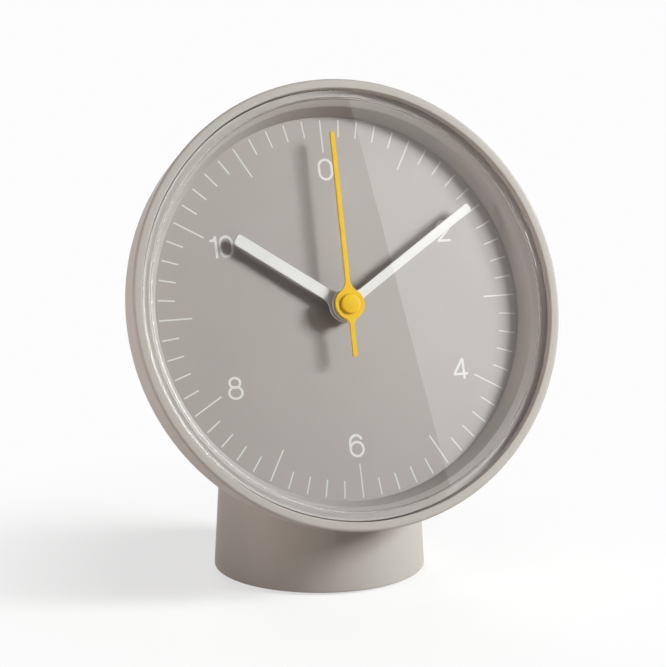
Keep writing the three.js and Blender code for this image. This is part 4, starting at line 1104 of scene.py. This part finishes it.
# Lens: a clear acrylic plate that stands proud of its border, which rests on the ring's ledge.
# It is moulded in one, and three tabs on its edge snap into pockets in the rim.
LENS_RADIUS = 0.0674
LENS_BACK = 0.0093
LENS_FRONT = 0.0107
SKIRT_INNER = 0.0648
SKIRT_BASE = 0.0077
STEP_RADIUS = 0.0652
BORDER_FRONT = 0.01
EDGE_BEVEL = 0.0005
STEP_BEVEL = 0.0004
LENS_ROUND = 0.0001
INNER_CHAMFER = 0.0003
TAB_HALF = 0.0025
TAB_ROOT = 0.0005
TAB_LOW, TAB_HIGH = 0.0082, 0.0094
TAB_END = 0.0685
ACRYLIC_TINT = (0.985, 0.99, 0.99, 1)
ACRYLIC_IOR = 1.49

lens = turned(
    [
        (0, LENS_BACK),
        (SKIRT_INNER - INNER_CHAMFER, LENS_BACK),
        (SKIRT_INNER, LENS_BACK - INNER_CHAMFER),
        (SKIRT_INNER, SKIRT_BASE),
        (LENS_RADIUS, SKIRT_BASE),
        (LENS_RADIUS, BORDER_FRONT - EDGE_BEVEL),
        (LENS_RADIUS - EDGE_BEVEL, BORDER_FRONT),
        (STEP_RADIUS, BORDER_FRONT),
        (STEP_RADIUS, LENS_FRONT - STEP_BEVEL),
        (STEP_RADIUS - STEP_BEVEL, LENS_FRONT),
        (0, LENS_FRONT),
    ],
    steps=360,
)
softened(lens, LENS_ROUND, lambda middle: middle.z > BORDER_FRONT - EDGE_BEVEL - LENS_ROUND)
tabs = []
for turn in (0, 2 * pi / 3, 4 * pi / 3):
    tab = block((-TAB_HALF, LENS_RADIUS - TAB_ROOT, TAB_LOW), (TAB_HALF, TAB_END, TAB_HIGH))
    tab.transform(Matrix.Rotation(turn, 4, "Z"))
    tabs.append(tab)
lens = carved(lens, *tabs, operation="UNION")

clear_acrylic = bpy.data.materials.new("clear acrylic")
clear_acrylic.use_nodes = True
nodes, links = clear_acrylic.node_tree.nodes, clear_acrylic.node_tree.links
surface = nodes["Principled BSDF"]
surface.inputs["Base Color"].default_value = ACRYLIC_TINT
surface.inputs["Transmission Weight"].default_value = 1
surface.inputs["IOR"].default_value = ACRYLIC_IOR
place = nodes.new("ShaderNodeTexCoord")
wiped = nodes.new("ShaderNodeTexNoise")
wiped.inputs["Scale"].default_value = 60
polish = between(nodes, 0, 0.012)
links.new(place.outputs["Object"], wiped.inputs["Vector"])
links.new(wiped.outputs["Fac"], polish.inputs["Value"])
links.new(polish.outputs["Result"], surface.inputs["Roughness"])
window = piece("clear_window", on_face(lens), clear_acrylic, "case", "clear_acrylic", "lens")
window.visible_shadow = False
window.visible_diffuse = False

# Floor: a wide sheet of pale studio paper under the clock.
# It keeps the clock's shadow near by and runs out into the white of the studio.
FLOOR_HALF = 4.0
SHADOW_NEAR = 0.05
SHADOW_FAR = 0.17
PAPER_WHITE = 0.98
PAPER_MATT = 0.345
PAPER_LIFT = 0.64
PAPER_BOUNCE = (0.67, 0.6, 0.55, 1)

sheet = bmesh.new()
bmesh.ops.create_grid(sheet, x_segments=1, y_segments=1, size=FLOOR_HALF)
floor_mesh = bpy.data.meshes.new("floor")
sheet.to_mesh(floor_mesh)
sheet.free()
floor = bpy.data.objects.new("floor", floor_mesh)
bpy.context.scene.collection.objects.link(floor)
paper = bpy.data.materials.new("studio paper")
paper.use_nodes = True
nodes, links = paper.node_tree.nodes, paper.node_tree.links
nodes.clear()
output = nodes.new("ShaderNodeOutputMaterial")
place = nodes.new("ShaderNodeTexCoord")
distance = nodes.new("ShaderNodeVectorMath")
distance.operation = "LENGTH"
fade = nodes.new("ShaderNodeMapRange")
fade.interpolation_type = "SMOOTHSTEP"
fade.inputs["From Min"].default_value = SHADOW_NEAR
fade.inputs["From Max"].default_value = SHADOW_FAR
ray = nodes.new("ShaderNodeLightPath")
seen = nodes.new("ShaderNodeMath")
seen.operation = "MAXIMUM"
seen_or_mirrored = nodes.new("ShaderNodeMath")
seen_or_mirrored.operation = "MAXIMUM"
matt = nodes.new("ShaderNodeBsdfDiffuse")
matt.inputs["Color"].default_value = (PAPER_MATT, PAPER_MATT, PAPER_MATT, 1)
lift = nodes.new("ShaderNodeEmission")
lift.inputs["Color"].default_value = (PAPER_LIFT, PAPER_LIFT, PAPER_LIFT, 1)
near = nodes.new("ShaderNodeAddShader")
far = nodes.new("ShaderNodeEmission")
far.inputs["Color"].default_value = (PAPER_WHITE, PAPER_WHITE, PAPER_WHITE, 1)
shown = nodes.new("ShaderNodeMixShader")
plain = nodes.new("ShaderNodeBsdfDiffuse")
plain.inputs["Color"].default_value = PAPER_BOUNCE
final = nodes.new("ShaderNodeMixShader")
links.new(place.outputs["Object"], distance.inputs[0])
links.new(distance.outputs["Value"], fade.inputs["Value"])
links.new(ray.outputs["Is Camera Ray"], seen.inputs[0])
links.new(ray.outputs["Is Glossy Ray"], seen.inputs[1])
links.new(seen.outputs["Value"], seen_or_mirrored.inputs[0])
links.new(ray.outputs["Is Transmission Ray"], seen_or_mirrored.inputs[1])
links.new(matt.outputs["BSDF"], near.inputs[0])
links.new(lift.outputs["Emission"], near.inputs[1])
links.new(fade.outputs["Result"], shown.inputs["Fac"])
links.new(near.outputs["Shader"], shown.inputs[1])
links.new(far.outputs["Emission"], shown.inputs[2])
links.new(seen_or_mirrored.outputs["Value"], final.inputs["Fac"])
links.new(plain.outputs["BSDF"], final.inputs[1])
links.new(shown.outputs["Shader"], final.inputs[2])
links.new(final.outputs["Shader"], output.inputs["Surface"])
floor_mesh.materials.append(paper)

# Studio light: a white surround, darker on the camera's side in reflections, and a warm low fill.
# A key light stands high on the right, a narrow reflector on the left, weak lights overhead and
# behind, and in front on the right a tall softbox that shows only in reflections.
ROOM_TONE = (1, 0.9, 0.85, 1)
ROOM_LEVEL = 0.03
CAMERA_SIDE = 0.12
CAMERA_WAY = -0.75
KEY_AIM = Vector((0, -0.0185, 0.081))
KEY_WAY = Vector((0.7314, -0.5388, 0.4179))
KEY_DISTANCE = 1.3
KEY_SIZE = 0.36
KEY_POWER = 25.5
KEY_TONE = (0.97, 1, 0.985)
REFLECTOR_PLACE = Vector((-0.62, -0.06, 0.14))
REFLECTOR_AIM = Vector((-0.07, -0.01, 0.1))
REFLECTOR_SIZE = 0.12
REFLECTOR_SPREAD = radians(30)
REFLECTOR_POWER = 0.08
OVERHEAD_PLACE = Vector((0, -0.5, 1.2))
OVERHEAD_SIZE = 0.5
OVERHEAD_POWER = 1.35
BEHIND_PLACE = Vector((0.2, 1.2, 0.55))
BEHIND_SIZE = 0.6
BEHIND_POWER = 6
SOFTBOX_EDGE_TOP = Vector((0.5842, -1.2275, 0.8068))
SOFTBOX_EDGE_LOW = Vector((0.6326, -1.328, 0.5254))
SOFTBOX_WIDTH = 0.5
SOFTBOX_HEIGHT = 1.1
SOFTBOX_POWER = 1.6

world = bpy.data.worlds.new("studio")
bpy.context.scene.world = world
world.use_nodes = True
nodes, links = world.node_tree.nodes, world.node_tree.links
nodes.clear()
output = nodes.new("ShaderNodeOutputWorld")
ray = nodes.new("ShaderNodeLightPath")
way = nodes.new("ShaderNodeTexCoord")
parts = nodes.new("ShaderNodeSeparateXYZ")
side = between(nodes, CAMERA_SIDE, PAPER_WHITE)
side.interpolation_type = "SMOOTHSTEP"
side.inputs["From Min"].default_value = CAMERA_WAY
side.inputs["From Max"].default_value = 0
mirrored = nodes.new("ShaderNodeMath")
mirrored.operation = "MAXIMUM"
first = nodes.new("ShaderNodeMath")
first.operation = "LESS_THAN"
first.inputs[1].default_value = 0.5
both = nodes.new("ShaderNodeMath")
both.operation = "MULTIPLY"
room = nodes.new("ShaderNodeBackground")
room.inputs["Color"].default_value = ROOM_TONE
room.inputs["Strength"].default_value = ROOM_LEVEL
surround = nodes.new("ShaderNodeBackground")
white = nodes.new("ShaderNodeBackground")
white.inputs["Color"].default_value = (PAPER_WHITE, PAPER_WHITE, PAPER_WHITE, 1)
lit = nodes.new("ShaderNodeMixShader")
shown = nodes.new("ShaderNodeMixShader")
links.new(way.outputs["Generated"], parts.inputs["Vector"])
links.new(parts.outputs["Y"], side.inputs["Value"])
links.new(side.outputs["Result"], surround.inputs["Color"])
links.new(ray.outputs["Is Glossy Ray"], mirrored.inputs[0])
links.new(ray.outputs["Is Transmission Ray"], mirrored.inputs[1])
links.new(ray.outputs["Diffuse Depth"], first.inputs[0])
links.new(mirrored.outputs["Value"], both.inputs[0])
links.new(first.outputs["Value"], both.inputs[1])
links.new(both.outputs["Value"], lit.inputs["Fac"])
links.new(room.outputs["Background"], lit.inputs[1])
links.new(surround.outputs["Background"], lit.inputs[2])
links.new(ray.outputs["Is Camera Ray"], shown.inputs["Fac"])
links.new(lit.outputs["Shader"], shown.inputs[1])
links.new(white.outputs["Background"], shown.inputs[2])
links.new(shown.outputs["Shader"], output.inputs["Surface"])


def area_lamp(name, place, outwards, power, size):
    """Square lamp at its place, turned to shine against the outward way."""
    lamp = bpy.data.lights.new(name, "AREA")
    lamp.energy = power
    lamp.size = size
    stand = bpy.data.objects.new(name, lamp)
    stand.location = place
    stand.rotation_mode = "QUATERNION"
    stand.rotation_quaternion = outwards.to_track_quat("Z", "Y")
    bpy.context.scene.collection.objects.link(stand)
    return stand


key = area_lamp("key light", KEY_AIM + KEY_WAY * KEY_DISTANCE, KEY_WAY, KEY_POWER, KEY_SIZE)
key.data.color = KEY_TONE
reflector = area_lamp(
    "reflector", REFLECTOR_PLACE, REFLECTOR_PLACE - REFLECTOR_AIM, REFLECTOR_POWER, REFLECTOR_SIZE
)
reflector.data.spread = REFLECTOR_SPREAD
reflector.data.color = ROOM_TONE[:3]
overhead = area_lamp(
    "overhead light", OVERHEAD_PLACE, OVERHEAD_PLACE - KEY_AIM, OVERHEAD_POWER, OVERHEAD_SIZE
)
overhead.data.color = ROOM_TONE[:3]
area_lamp("light behind", BEHIND_PLACE, BEHIND_PLACE - KEY_AIM, BEHIND_POWER, BEHIND_SIZE)

# the softbox hangs from its left edge, whose mirror image crosses the lens
edge_middle = (SOFTBOX_EDGE_TOP + SOFTBOX_EDGE_LOW) / 2
upwards = (SOFTBOX_EDGE_TOP - SOFTBOX_EDGE_LOW).normalized()
outwards = edge_middle - KEY_AIM
outwards = (outwards - upwards * outwards.dot(upwards)).normalized()
sideways = upwards.cross(outwards)
softbox_place = edge_middle + sideways * SOFTBOX_WIDTH / 2
softbox = area_lamp("softbox", softbox_place, outwards, SOFTBOX_POWER, SOFTBOX_WIDTH)
softbox.data.shape = "RECTANGLE"
softbox.data.size_y = SOFTBOX_HEIGHT
softbox.rotation_quaternion = Matrix((sideways, upwards, outwards)).transposed().to_quaternion()
softbox.visible_diffuse = False

# Camera: a long lens, a little above the clock and to the left of it.
# It takes in the clock whole, with white round it.
CAMERA_PLACE = Vector((-0.27644, -0.69388, 0.22755))
CAMERA_AIM = Vector((-0.002864, -0.019026, 0.080982))
CAMERA_LENS = 127.84
CAMERA_SENSOR = 36

camera_data = bpy.data.cameras.new("camera")
camera_data.sensor_fit = "HORIZONTAL"
camera_data.sensor_width = CAMERA_SENSOR
camera_data.lens = CAMERA_LENS
camera = bpy.data.objects.new("camera", camera_data)
camera.location = CAMERA_PLACE
camera.rotation_mode = "QUATERNION"
camera.rotation_quaternion = (CAMERA_AIM - CAMERA_PLACE).to_track_quat("-Z", "Y")
bpy.context.scene.collection.objects.link(camera)
bpy.context.scene.camera = camera
bpy.context.scene.view_settings.view_transform = "Standard"
